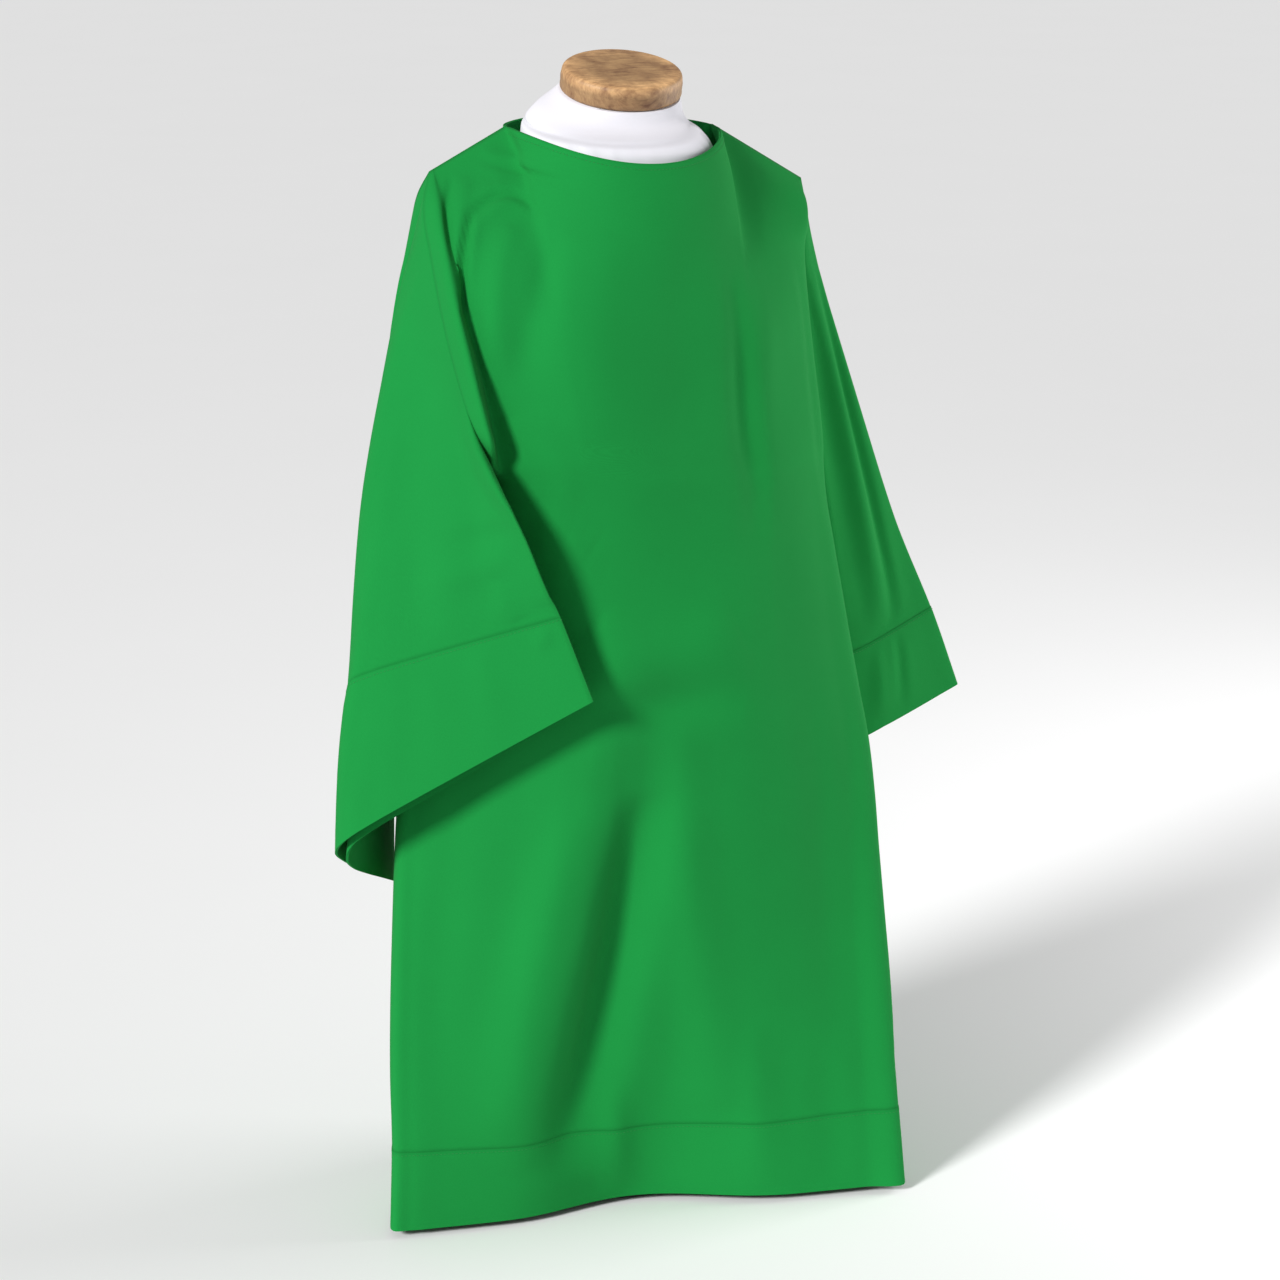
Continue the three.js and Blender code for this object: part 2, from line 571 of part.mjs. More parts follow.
// The torso: the inside of the worn cloth down to the armholes, then narrower than the cloth, with
// a level shelf on top for the neck and a level underside.
function torsoGeometry() {
  const places = columnPlaces();
  const heights = bodyRows()[DRAPE_ROWS];
  const ringOf = (front, back) => [...front.slice(3, -2), ...back.slice(3, -2).reverse()];
  const rings = [];
  for (let r = 1; r <= DRAPE_ROWS; r += 1) {
    rings.push(ringOf(frontGrid[r], backGrid[r]).map((p) => (
      p.clone().addScaledVector(clothNormals.get(keyOf(p)), -WALL / 2 - UNDER_CLOTH[r - 1])
    )));
  }
  for (let i = 1; i <= FORM_ROWS; i += 1) {
    const [zRight, zLeft] = heights.map((z) => mix(z, FORM_BOTTOM + 10, i / FORM_ROWS));
    const ring = ringOf(frontRow(zRight, zLeft, places), backRow(zRight, zLeft, places));
    const share = 1 - mix(WAIST.top, WAIST.bottom, i / FORM_ROWS);
    rings.push(ring.map((p) => point(p.x * share, mix(-BASE_SETBACK, p.y, share), p.z)));
  }
  const neckFoot = NECK[NECK.length - 1];
  const shelf = { ...neckFoot, z: neckFoot.z - SEAM_GAP };
  const halfDepth = (shelf.back - shelf.front) / 2;
  const shelfRing = rings[0].map((p) => (
    ovalPoint(shelf, Math.atan2((p.y - shelf.front) / halfDepth - 1, (p.x - CAP.x) / shelf.right))
  ));
  const underside = rings[rings.length - 1].map((p) => (
    point(p.x * ROUNDED_FOOT, mix(-BASE_SETBACK, p.y, ROUNDED_FOOT), FORM_BOTTOM)
  ));
  return ringSolid([shelfRing, ...rings, underside], rings[0].length / 2);
}

function capGeometry() {
  const profile = [
    [0, 0], [0.94, 0], [1, 0.14], [1, 0.84], [0.97, 0.97], [0.9, 1], [0, 1],
  ].map(([r, h]) => new THREE.Vector2(r * CAP.halfWidth, h * CAP.thickness));
  const geometry = new THREE.LatheGeometry(profile, FORM_SIDES);
  geometry.rotateX(Math.PI / 2);
  geometry.scale(1, CAP.halfDepth / CAP.halfWidth, 1);
  return geometry;
}

function baseGeometry() {
  const outline = [
    [BASE.hub, BASE.height], [BASE.hub + 14, BASE.rim + 3], [BASE.radius - 2, BASE.rim],
    [BASE.radius, BASE.rim - 2], [BASE.radius, 0],
  ];
  return ringSolid(outline.map(([r, h]) => Array.from({ length: BASE_SIDES }, (_, i) => {
    const angle = 2 * Math.PI * i / BASE_SIDES;
    return point(r * Math.cos(angle), r * Math.sin(angle), h);
  })));
}

// ---- The scene -----------------------------------------------------------------------------------
const MATERIALS = {
  green_cloth: new THREE.MeshStandardMaterial({ color: 0x219845, roughness: 0.9, metalness: 0 }),
  white_cloth: new THREE.MeshStandardMaterial({ color: 0xe9e7ee, roughness: 0.9, metalness: 0 }),
  wood: new THREE.MeshStandardMaterial({ color: 0xb98a5a, roughness: 0.6, metalness: 0 }),
  steel: new THREE.MeshStandardMaterial({ color: 0x2b2b2d, roughness: 0.45, metalness: 0.8 }),
};

const part = new THREE.Group();
const garment = new THREE.Group();
garment.position.y = -BASE_SETBACK;
part.add(garment);

function addPiece(parent, name, geometry, material) {
  const mesh = new THREE.Mesh(geometry, MATERIALS[material].clone());
  mesh.name = name;
  parent.add(mesh);
  return mesh;
}

for (const [name, sheet] of Object.entries(sheets)) {
  const wall = /hem|cuff/.test(name) ? TURNED_WALL : WALL;
  addPiece(garment, name, sheetWall(sheet, clothNormals, wall, SEWN_EDGES[name]), 'green_cloth');
}

for (const [name, sheet] of Object.entries(facings)) {
  const inset = WALL / 2 + FACING_GAP + FACING_WALL / 2;
  addPiece(garment, name, sheetWall(sheet, clothNormals, FACING_WALL, 'top', inset), 'green_cloth');
}
addPiece(garment, 'torso', torsoGeometry(), 'white_cloth');
addPiece(garment, 'neck', neckGeometry(), 'white_cloth');
const cap = addPiece(garment, 'neck_cap', capGeometry(), 'wood');
cap.position.set(CAP.x, CAP.y, CAP.z);
cap.rotation.x = THREE.MathUtils.degToRad(CAP.tilt);

const poleLength = POLE.top - POLE.bottom - 2 * SEAM_GAP;
const pole = new THREE.CylinderGeometry(POLE.radius, POLE.radius, poleLength, POLE.sides);
pole.rotateX(Math.PI / 2);
addPiece(part, 'pole', pole, 'steel').position.z = (POLE.top + POLE.bottom) / 2;
addPiece(part, 'base', baseGeometry(), 'steel');

export default part;
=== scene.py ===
"""A dalmatic of plain green cloth, worn by a limbless dress form: the looks of every piece."""
import math

import bpy
import numpy as np
from bpy.props import FloatProperty, FloatVectorProperty, IntProperty, PointerProperty
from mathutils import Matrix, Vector


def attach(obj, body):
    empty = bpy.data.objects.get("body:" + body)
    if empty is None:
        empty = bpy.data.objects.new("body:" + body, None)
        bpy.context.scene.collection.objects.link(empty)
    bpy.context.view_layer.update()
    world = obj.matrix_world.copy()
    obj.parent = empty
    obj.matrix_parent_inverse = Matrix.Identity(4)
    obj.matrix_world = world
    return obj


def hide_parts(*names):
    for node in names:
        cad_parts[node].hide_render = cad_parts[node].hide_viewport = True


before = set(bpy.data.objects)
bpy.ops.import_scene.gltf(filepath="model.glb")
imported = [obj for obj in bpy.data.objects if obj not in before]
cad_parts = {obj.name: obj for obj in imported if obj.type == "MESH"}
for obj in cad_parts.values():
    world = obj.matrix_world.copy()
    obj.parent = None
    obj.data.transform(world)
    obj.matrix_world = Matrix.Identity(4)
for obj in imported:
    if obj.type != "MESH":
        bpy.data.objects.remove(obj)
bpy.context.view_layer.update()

bl_info = {
    "name": "Dalmatic on a dress form",
    "version": (1, 0, 0),
    "blender": (4, 5, 0),
    "location": "3D View > Sidebar > Dalmatic",
    "description": "Makes the cloth pieces, stitching, dress form, stand and stage of a dalmatic",
    "category": "Add Mesh",
}

MM = 0.001                      # the tables below are in millimetres

# ---- The garment's own sizes, in millimetres -----------------------------------------------------
SHOULDER = {"right": 1137, "left": 1112}        # heights of the shoulder tips
UNDERARM = {"right": 858, "left": 830}
HEM_SEAM = 97
HEM_EDGE = 9
BASE_SETBACK = 20               # the base's centre lies this far behind the garment's own axis
ARMHOLE_ROWS = 12
SIDE_ROWS = 13
HEM_ROWS = 2
SHOULDER_COLUMNS = 3
NECK_COLUMNS = 14
DRAPE_ROWS = 7
SLEEVE_ROWS = 13
CUFF_ROWS = 3
CUFF_EDGE = 1.3
ARMHOLE_REACH = 0.5
ROW_STEPS = 8                   # fine rows to each row of the tables' own mesh
COLUMN_STEPS = 8
SLEEVE_STEPS = 5
NECK_START = SHOULDER_COLUMNS + 2               # the column at the right neck point
NECK_END = NECK_START + NECK_COLUMNS
SIDE_CROWDING = 1.35            # above 1, the rows lie closer together below the underarm
BACK_FLATNESS, BACK_FULLNESS = 2.4, 0.8
FOLD_FADE_TOP, FOLD_FADE_BOTTOM = 120, 80       # a fold grows and dies away over these heights
TURN_FROM = 0.3                 # below this share of a sleeve its layers part in one direction


def table(columns, rows):
    """Rows of numbers under named columns."""
    return [dict(zip(columns.split(), row)) for row in rows]


# The middle of the body at each height, and how flat the front is.
MIDDLE = table("z front back flatness", [
    (1137, -128, 84, 2.6), (1060, -140, 102, 2.8), (980, -148, 109, 2.8), (900, -151, 108, 2.7),
    (790, -157, 106, 2.6), (640, -166, 108, 2.5), (520, -158, 111, 2.5), (400, -148, 114, 2.4),
    (250, -137, 119, 2.4), (97, -129, 125, 2.4), (9, -127, 129, 2.4),
])
# The right side: the front's edge, the crest before the armhole, the crease behind it, the back.
RIGHT_SIDE = table("z seam_x seam_y fold_x fold_y inner_x inner_y back_x back_y", [
    (1137, -206, 10, -203, 9, -199, 9, -206, 10),
    (1105, -221, -17, -211, -33, -199, -29, -213, 38),
    (1060, -223, -48, -214, -71, -203, -61, -212, 60),
    (1010, -222, -76, -212, -101, -199, -86, -208, 66),
    (960, -217, -99, -206, -124, -192, -101, -205, 58),
    (910, -209, -123, -197, -141, -183, -110, -201, -18),
    (880, -199, -130, -190, -143, -177, -112, -194, -84),
    (858, -187, -120, -184, -127, -173, -113, -187, -120),
    (836, -177, -86, -174, -99, -165, -112, -177, -86),
    (812, -184, -62, -182, -82, -170, -103, -184, -62),
    (785, -200, -44, -200, -66, -187, -88, -200, -44),
    (710, -226, -18, -231, -51, -218, -70, -226, -18),
    (620, -238, -2, -246, -44, -232, -64, -238, -2),
    (480, -252, 10, -265, -41, -249, -60, -252, 10),
    (350, -258, 10, -276, -50, -259, -67, -258, 10),
    (200, -262, 0, -286, -61, -268, -77, -262, 0),
    (97, -263, -8, -289, -70, -271, -84, -263, -8),
    (9, -267, -14, -295, -79, -276, -90, -267, -14),
])
LEFT_SIDE = table("z seam_x seam_y fold_x fold_y back_x back_y", [
    (1112, 206, 10, 203, 9, 206, 10), (1080, 206, 2, 208, -16, 208, 45),
    (1040, 202, 10, 206, -8, 208, 66), (984, 202, 6, 206, -14, 206, 74),
    (920, 206, 0, 210, -22, 205, 66), (870, 209, -8, 213, -32, 207, 36),
    (830, 212, -18, 215, -38, 212, -18), (790, 212, -8, 216, -42, 212, -8),
    (705, 220, -2, 226, -57, 220, -2), (606, 230, -5, 239, -72, 230, -5),
    (506, 241, -10, 253, -86, 241, -10), (350, 248, -22, 260, -106, 248, -22),
    (200, 254, -46, 267, -133, 254, -46), (97, 260, -63, 271, -149, 260, -63),
    (9, 266, -76, 275, -162, 266, -76),
])
# The large folds: where they run across the panel (0 right, 1 left), how wide and how deep.
FOLD_COLUMNS = "top bottom across_top across_bottom width_top width_bottom depth_top depth_bottom"
FRONT_FOLDS = table(FOLD_COLUMNS, [
    (600, 0, 0.42, 0.47, 60, 155, 0, -37), (720, 0, 0.35, 0.24, 56, 70, 9, 3),
    (740, 0, 0.62, 0.70, 70, 90, 6, 4), (1075, 880, 0.16, 0.08, 34, 30, -4, -5),
    (1060, 780, 0.66, 0.70, 46, 60, -3, -6),
])
BACK_FOLDS = table(FOLD_COLUMNS, [
    (640, 0, 0.30, 0.24, 60, 80, 0, -22), (700, 0, 0.52, 0.50, 60, 80, 2, 12),
    (640, 0, 0.74, 0.78, 60, 80, 0, -20), (1000, 700, 0.36, 0.40, 60, 70, -3, -5),
    (1000, 700, 0.66, 0.62, 60, 70, -3, -5),
])
# The sleeves: low seam, bend and top fold at each place along them, from the armhole down.
SLEEVE_COLUMNS = "along low_x low_y low_z bend_x bend_y bend_z top_x top_y top_z bend_at soft gap drop"
SLEEVES = {
    "right": table(SLEEVE_COLUMNS, [
        (0, -187, -120, 858, -226, -36, 1075, -206, 10, 1137, 0.80, 0.07, 3, 0),
        (0.18, -183, -169, 826, -253, -4, 1000, -224, 24, 1030, 0.80, 0.07, 5, 0),
        (0.36, -169, -183, 790, -282, -18, 912, -235, 35, 915, 0.79, 0.07, 8, 0),
        (0.56, -156, -187, 755, -310, -33, 812, -241, 44, 790, 0.77, 0.07, 11, 0),
        (0.76, -146, -187, 731, -326, -45, 722, -244, 50, 662, 0.74, 0.07, 12, 2),
        (1, -134, -187, 707, -343, -59, 626, -245, 56, 512, 0.70, 0.07, 12, 3),
        (1.3, -104, -201, 619, -372, -68, 442, -246, 62, 355, 0.64, 0.09, 12, 9),
    ]),
    "left": table(SLEEVE_COLUMNS, [
        (0, 212, -18, 830, 205, 8, 960, 206, 10, 1112, 0.46, 0.10, 8, 0),
        (0.18, 216, 10, 795, 218, 13, 900, 230, 31, 1036, 0.46, 0.10, 9, 0),
        (0.36, 224, 52, 748, 234, 23, 820, 264, 47, 938, 0.46, 0.10, 10, 0),
        (0.56, 234, 96, 696, 250, 32, 726, 308, 65, 826, 0.46, 0.10, 11, 0),
        (0.76, 242, 136, 652, 262, 37, 640, 358, 83, 708, 0.46, 0.10, 11, 0),
        (1, 250, 170, 610, 271, 41, 556, 413, 100, 597, 0.46, 0.10, 11, 2),
        (1.3, 258, 206, 530, 281, 44, 450, 457, 115, 495, 0.46, 0.10, 11, 8),
    ]),
}
# Creases on top of the folds. Each runs from one place through a middle one to its end, as soft
# troughs (depth below 0) and ridges. On a panel, across is the share of the way round and down is
# the height; on a sleeve, across is the share from the underarm seam up the visible layer (to
# 0.5) and on down the hidden one, and down is the place along it. Width and depth are in mm. A
# trough's flanks rise beside it, so its floor lies higher than its depth says.
CREASE_COLUMNS = "across down mid_across mid_down to_across to_down width depth"
CREASES = {
    "front": table(CREASE_COLUMNS, [
        (0.235, 1108, 0.160, 1117, 0.101, 1090, 6.5, -9.0),
        (0.110, 1100, 0.097, 1056, 0.083, 1004, 5.5, -13.0),
        (0.085, 1132, 0.086, 1085, 0.072, 1020, 9, 3.5), (0.052, 1136, 0.056, 1108, 0.060, 1070, 5, -3.5),
        (0.105, 1156, 0.200, 1150, 0.320, 1144, 5, 2.2), (0.110, 1146, 0.210, 1139, 0.330, 1132, 5, -5.0),
        (0.275, 1090, 0.232, 1015, 0.165, 930, 20, -7.0), (0.190, 1090, 0.150, 1010, 0.125, 905, 16, 5.5),
        (0.400, 1085, 0.345, 1000, 0.330, 880, 30, 3.0), (0.560, 1085, 0.520, 990, 0.500, 860, 30, -2.4),
        (0.650, 1040, 0.648, 890, 0.630, 745, 18, -8.0), (0.735, 1090, 0.725, 960, 0.700, 800, 22, 3.2),
        (0.905, 1030, 0.915, 900, 0.905, 740, 12, -3.0), (0.090, 900, 0.140, 850, 0.215, 790, 14, -3.6),
        (0.120, 870, 0.190, 815, 0.310, 770, 20, 3.4), (0.150, 815, 0.230, 745, 0.345, 700, 20, -3.6),
        (0.350, 690, 0.460, 652, 0.600, 668, 28, 7.0), (0.360, 600, 0.470, 596, 0.610, 588, 26, -9.0),
        (0.500, 590, 0.545, 360, 0.600, 110, 30, 8.0), (0.455, 500, 0.415, 270, 0.345, 50, 36, -34.0),
        (0.345, 480, 0.300, 300, 0.250, 100, 28, 9.0), (0.180, 560, 0.165, 350, 0.150, 130, 26, -3.6),
        (0.740, 600, 0.765, 400, 0.790, 180, 28, -5.0), (0.860, 560, 0.875, 380, 0.890, 150, 24, 3.4),
        (0.930, 700, 0.935, 450, 0.940, 160, 14, -2.6), (0.640, 220, 0.655, 120, 0.665, 12, 22, 3.4),
        (0.760, 190, 0.765, 100, 0.775, 12, 22, -2.8), (0.430, 150, 0.440, 80, 0.450, 12, 18, 3.0),
    ]),
    "back": table(CREASE_COLUMNS, [
        (0.070, 1110, 0.140, 1060, 0.260, 940, 18, -5.0), (0.930, 1090, 0.860, 1040, 0.740, 930, 18, -4.6),
        (0.150, 1120, 0.240, 1050, 0.320, 900, 24, 3.8), (0.850, 1110, 0.760, 1030, 0.680, 880, 24, 3.6),
        (0.420, 1130, 0.440, 1030, 0.470, 900, 28, -3.0), (0.560, 1120, 0.580, 1010, 0.560, 860, 28, 2.6),
        (0.130, 880, 0.200, 830, 0.300, 790, 16, -4.2), (0.870, 850, 0.800, 800, 0.700, 770, 16, -3.8),
        (0.340, 800, 0.500, 776, 0.650, 792, 26, 3.4), (0.330, 728, 0.480, 712, 0.640, 730, 24, -3.4),
        (0.390, 660, 0.400, 420, 0.385, 160, 28, 6.0), (0.610, 690, 0.640, 430, 0.650, 130, 28, -6.0),
        (0.500, 560, 0.505, 330, 0.520, 60, 24, -5.0), (0.180, 610, 0.170, 380, 0.150, 110, 24, 5.0),
        (0.760, 560, 0.770, 330, 0.790, 60, 24, 4.6), (0.870, 600, 0.880, 400, 0.890, 180, 20, -4.0),
        (0.280, 420, 0.275, 230, 0.280, 12, 20, -4.4),
    ]),
    "sleeve_right": table(CREASE_COLUMNS, [
        (0.170, 0.06, 0.140, 0.36, 0.120, 0.74, 24, -3.4), (0.330, 0.14, 0.310, 0.55, 0.300, 0.98, 26, 3.0),
        (0.040, 0.36, 0.110, 0.50, 0.220, 0.62, 14, -3.0), (0.060, 0.52, 0.130, 0.66, 0.240, 0.76, 16, 2.4),
        (0.395, 0.04, 0.415, 0.30, 0.425, 0.62, 12, -2.6), (0.250, 0.55, 0.235, 0.76, 0.225, 0.99, 20, -2.6),
        (0.090, 0.70, 0.078, 0.85, 0.070, 0.99, 14, 2.4), (0.455, 0.50, 0.460, 0.75, 0.455, 0.99, 10, -2.4),
        (0.700, 0.16, 0.720, 0.50, 0.715, 0.94, 22, -3.4), (0.850, 0.26, 0.830, 0.60, 0.820, 0.96, 22, 3.0),
        (0.600, 0.10, 0.610, 0.45, 0.600, 0.80, 16, 2.4),
    ]),
    "sleeve_left": table(CREASE_COLUMNS, [
        (0.470, 0.22, 0.445, 0.60, 0.396, 0.99, 9, -9.0), (0.425, 0.16, 0.395, 0.55, 0.350, 0.98, 12, 4.5),
        (0.330, 0.06, 0.310, 0.40, 0.290, 0.80, 14, -2.6), (0.140, 0.16, 0.150, 0.55, 0.145, 0.94, 16, -3.0),
        (0.060, 0.44, 0.070, 0.70, 0.075, 0.99, 12, 2.4), (0.700, 0.12, 0.695, 0.50, 0.690, 0.92, 22, -3.4),
        (0.850, 0.20, 0.840, 0.60, 0.830, 0.96, 22, 3.2), (0.590, 0.20, 0.600, 0.60, 0.600, 0.96, 16, 2.6),
    ]),
    "cuff_right": table(CREASE_COLUMNS, [
        (0.225, 1.01, 0.220, 1.14, 0.215, 1.28, 22, -2.4), (0.340, 1.01, 0.345, 1.14, 0.350, 1.28, 18, 2.2),
        (0.120, 1.01, 0.116, 1.14, 0.112, 1.28, 18, 1.8), (0.020, 1.02, 0.030, 1.05, 0.045, 1.08, 8, 2.0),
        (0.720, 1.02, 0.725, 1.14, 0.730, 1.28, 22, -2.6),
    ]),
    "cuff_left": table(CREASE_COLUMNS, [
        (0.395, 1.01, 0.385, 1.14, 0.370, 1.27, 9, -3.0), (0.340, 1.02, 0.330, 1.14, 0.320, 1.28, 12, 2.2),
        (0.700, 1.02, 0.705, 1.14, 0.710, 1.28, 18, -2.4),
    ]),
}
CREASE_POINTS = 30              # points along a crease's line
CREASE_SMOOTHING = 8            # rounds of smoothing along it
CREASE_SEARCH = 4               # how much a step across or down counts in the search for a point
CREASE_FADE = 0.7               # below 1, a crease keeps its depth for longer towards its ends
CREASE_WIDTHS = (0.8, 1.2)      # share of its width at a crease's start and at its end
FLANK_SHARE = 0.68              # how much of a trough's depth its flanks give back
FLANK_REACH = 2.1               # how much wider than the trough its flanks are
SEAM_CLEAR = 16                 # creases fade out over this distance from a sewn edge


# ---- Worked-out points of the cloth --------------------------------------------------------------
def mix(a, b, t):
    return a + (b - a) * t


def smooth_step(value, low, high):
    t = np.clip((value - low) / (high - low), 0, 1)
    return t * t * (3 - 2 * t)


def read_table(rows, value):
    """A smooth run through a table's rows, read at a value of its first column."""
    key = next(iter(rows[0]))
    last = len(rows) - 1
    falling = rows[last][key] < rows[0][key]
    i = 0
    while i < last - 1 and (value < rows[i + 1][key] if falling else value > rows[i + 1][key]):
        i += 1
    start, end = rows[i], rows[i + 1]
    before, after = rows[max(i - 1, 0)], rows[min(i + 2, last)]
    span = end[key] - start[key]
    t = min(max((value - start[key]) / span, 0), 1)
    read = {}
    for name in start:
        slope_start = (end[name] - before[name]) / (end[key] - before[key]) * span
        slope_end = (after[name] - start[name]) / (after[key] - start[key]) * span
        rise = mix(start[name], end[name], t * t * (3 - 2 * t))
        read[name] = rise + slope_start * t * (1 - t) ** 2 + slope_end * t * t * (t - 1)
    return read


def refine(points, steps, breaks=()):
    """More points on a smooth line through the first axis of points, which turns at its breaks."""
    stretches = [0, *breaks, len(points) - 1]
    fine = [points[:1]]
    for first, last in zip(stretches, stretches[1:]):
        part = points[first:last + 1]
        part = np.concatenate([2 * part[:1] - part[1:2], part, 2 * part[-1:] - part[-2:-1]])
        for i in range(1, len(part) - 2):
            a, b, c, d = part[i - 1:i + 3]
            for k in range(1, steps + 1):
                t = k / steps
                p = b + 0.5 * t * ((c - a) + t * (2 * a - 5 * b + 4 * c - d + t * (3 * (b - c) + d - a)))
                fine.append(p[None])
    return np.concatenate(fine)


def spread(grid, edge, line, reach=12):
    """Moves one edge of a grid onto a line and eases the change into the rows beside it."""
    view = {"left": grid.swapaxes(0, 1), "right": grid[:, ::-1].swapaxes(0, 1), "top": grid}[edge]
    change = line - view[0]
    for k in range(reach):
        view[k] += change * (1 - k / reach) ** 2


def body_heights():
    """The height of each row at the right side and at the left side."""
    rows = []
    for i in range(ARMHOLE_ROWS + 1):
        t = i / ARMHOLE_ROWS
        rows.append([mix(SHOULDER[side], UNDERARM[side], t) for side in ("right", "left")])
    for i in range(1, SIDE_ROWS + 1):
        t = (i / SIDE_ROWS) ** SIDE_CROWDING
        rows.append([mix(UNDERARM[side], HEM_SEAM, t) for side in ("right", "left")])
    for i in range(1, HEM_ROWS + 1):
        rows.append([mix(HEM_SEAM, HEM_EDGE, i / HEM_ROWS)] * 2)
    return rows


NECK_POINTS = {"right": (-124, 10, 1180), "left": (108, 20, 1172)}
TIPS = {"right": (-206, 10, SHOULDER["right"]), "left": (206, 10, SHOULDER["left"])}
NECKLINE = {"front": {"depth": -133, "dip": -24}, "back": {"depth": 62, "dip": 7}}
ON_SHOULDER = {"right": (0, 0.04, 0.09, 0.39, 0.70, 1), "left": (1, 0.68, 0.36, 0.10, 0)}
BACK_FLAT = (0.05, 0.97)


def column_places():
    """Places across the flat front at which the columns stand."""
    start = RIGHT_SIDE[0]["inner_x"]
    width = LEFT_SIDE[0]["fold_x"] - start
    neck = [(NECK_POINTS[side][0] - start) / width for side in ("right", "left")]
    shoulder = np.arange(1, SHOULDER_COLUMNS) / SHOULDER_COLUMNS
    middle = np.linspace(*neck, NECK_COLUMNS + 1)
    return np.concatenate([neck[0] * shoulder, middle, mix(neck[1], 1, shoulder)])


def top_edge(panel):
    """Right shoulder seam, neckline and left shoulder seam of a panel."""
    neck, neck_left = np.array(NECK_POINTS["right"], float), np.array(NECK_POINTS["left"], float)
    edge = [mix(np.array(TIPS["right"], float), neck, t) for t in ON_SHOULDER["right"]]
    for i in range(1, NECK_COLUMNS):
        angle = math.pi * i / NECK_COLUMNS
        p = mix(neck, neck_left, (1 - math.cos(angle)) / 2)
        p[1] += NECKLINE[panel]["depth"] * math.sin(angle)
        p[2] += NECKLINE[panel]["dip"] * math.sin(angle) ** 2
        edge.append(p)
    edge += [mix(np.array(TIPS["left"], float), neck_left, t) for t in ON_SHOULDER["left"]]
    return np.array(edge)


def fold_depth(folds, across, z, width):
    """How far the large folds push a panel out at one place of a row of that width."""
    depth = 0
    for fold in folds:
        t = min(max((fold["top"] - z) / (fold["top"] - fold["bottom"]), 0), 1)
        offset = (across - mix(fold["across_top"], fold["across_bottom"], t)) * width
        reach = mix(fold["width_top"], fold["width_bottom"], t)
        fade = smooth_step(fold["top"] - z, 0, FOLD_FADE_TOP)
        if fold["bottom"] > 0:
            fade *= smooth_step(z - fold["bottom"], 0, FOLD_FADE_BOTTOM)
        swell = math.exp(-2 * (offset / reach) ** 2)
        depth += mix(fold["depth_top"], fold["depth_bottom"], t) * swell * fade
    return depth * (1 - abs(2 * across - 1) ** 8)


def front_row(z_right, z_left, places):
    """One row of the front, from its right seam round the crest to its left seam."""
    right, left = read_table(RIGHT_SIDE, z_right), read_table(LEFT_SIDE, z_left)
    middle = read_table(MIDDLE, (z_right + z_left) / 2)
    bulge = middle["front"] - (right["inner_y"] + left["fold_y"]) / 2
    width = left["fold_x"] - right["inner_x"]
    row = [(right[name + "_x"], right[name + "_y"], z_right) for name in ("seam", "fold", "inner")]
    for t in places:
        z = mix(z_right, z_left, t)
        y = mix(right["inner_y"], left["fold_y"], t) + bulge * (1 - abs(2 * t - 1) ** middle["flatness"])
        row.append((mix(right["inner_x"], left["fold_x"], t), y - fold_depth(FRONT_FOLDS, t, z, width), z))
    return np.array(row + [(left[name + "_x"], left[name + "_y"], z_left) for name in ("fold", "seam")])


def back_row(z_right, z_left, places):
    """One row of the back, with as many points as the front's."""
    edges = []
    for side, z, name in ((RIGHT_SIDE, z_right, "right"), (LEFT_SIDE, z_left, "left")):
        read = read_table(side, z)
        kind = "back" if z > UNDERARM[name] else "seam"
        edges.append((read[kind + "_x"], read[kind + "_y"]))
    right, left = edges
    bulge = read_table(MIDDLE, (z_right + z_left) / 2)["back"] - (right[1] + left[1]) / 2
    start, end = BACK_FLAT
    row = []
    for t in (0, start * 0.4, start, *(mix(start, end, p) for p in places), end, 1):
        z = mix(z_right, z_left, t)
        y = mix(right[1], left[1], t) + bulge * (1 - abs(2 * t - 1) ** BACK_FLATNESS) ** BACK_FULLNESS
        row.append((mix(right[0], left[0], t), y + fold_depth(BACK_FOLDS, t, z, left[0] - right[0]), z))
    return np.array(row)


def panel_grid(panel):
    """The fine grid of the front or the back, from the shoulders and neckline to the hem's edge."""
    make_row = {"front": front_row, "back": back_row}[panel]
    places = column_places()
    edge = top_edge(panel)
    rows = np.array([make_row(*heights, places) for heights in body_heights()])
    rise = edge - rows[0]
    for r in range(DRAPE_ROWS):
        rows[r] += rise * (1 - r / DRAPE_ROWS) ** 2
    sides = {"left": rows[:, 0].copy(), "right": rows[:, -1].copy()}
    grid = refine(rows, ROW_STEPS)
    grid = refine(grid.swapaxes(0, 1), COLUMN_STEPS).swapaxes(0, 1).copy()
    for side, line in sides.items():
        spread(grid, side, refine(line, ROW_STEPS, (ARMHOLE_ROWS,)))
    spread(grid, "top", refine(edge, COLUMN_STEPS, (NECK_START, NECK_END)), 6)
    return grid


def sleeve_point(station, s):
    """One layer's point at a share of the way from the underarm seam to the top fold."""
    def bent(x):
        return (x + math.hypot(x, station["soft"])) / 2
    bend_at = station["bend_at"]
    start = bent(-bend_at)
    past = (bent(s - bend_at) - start) / (bent(1 - bend_at) - start)
    before = (s - past * (1 - bend_at)) / bend_at
    low, bend, top = (np.array([station[f"{name}_{axis}"] for axis in "xyz"])
                      for name in ("low", "bend", "top"))
    return low + (bend - low) * before + (top - bend) * past


def unit(v):
    return v / np.maximum(np.linalg.norm(v, axis=-1, keepdims=True), 1e-9)


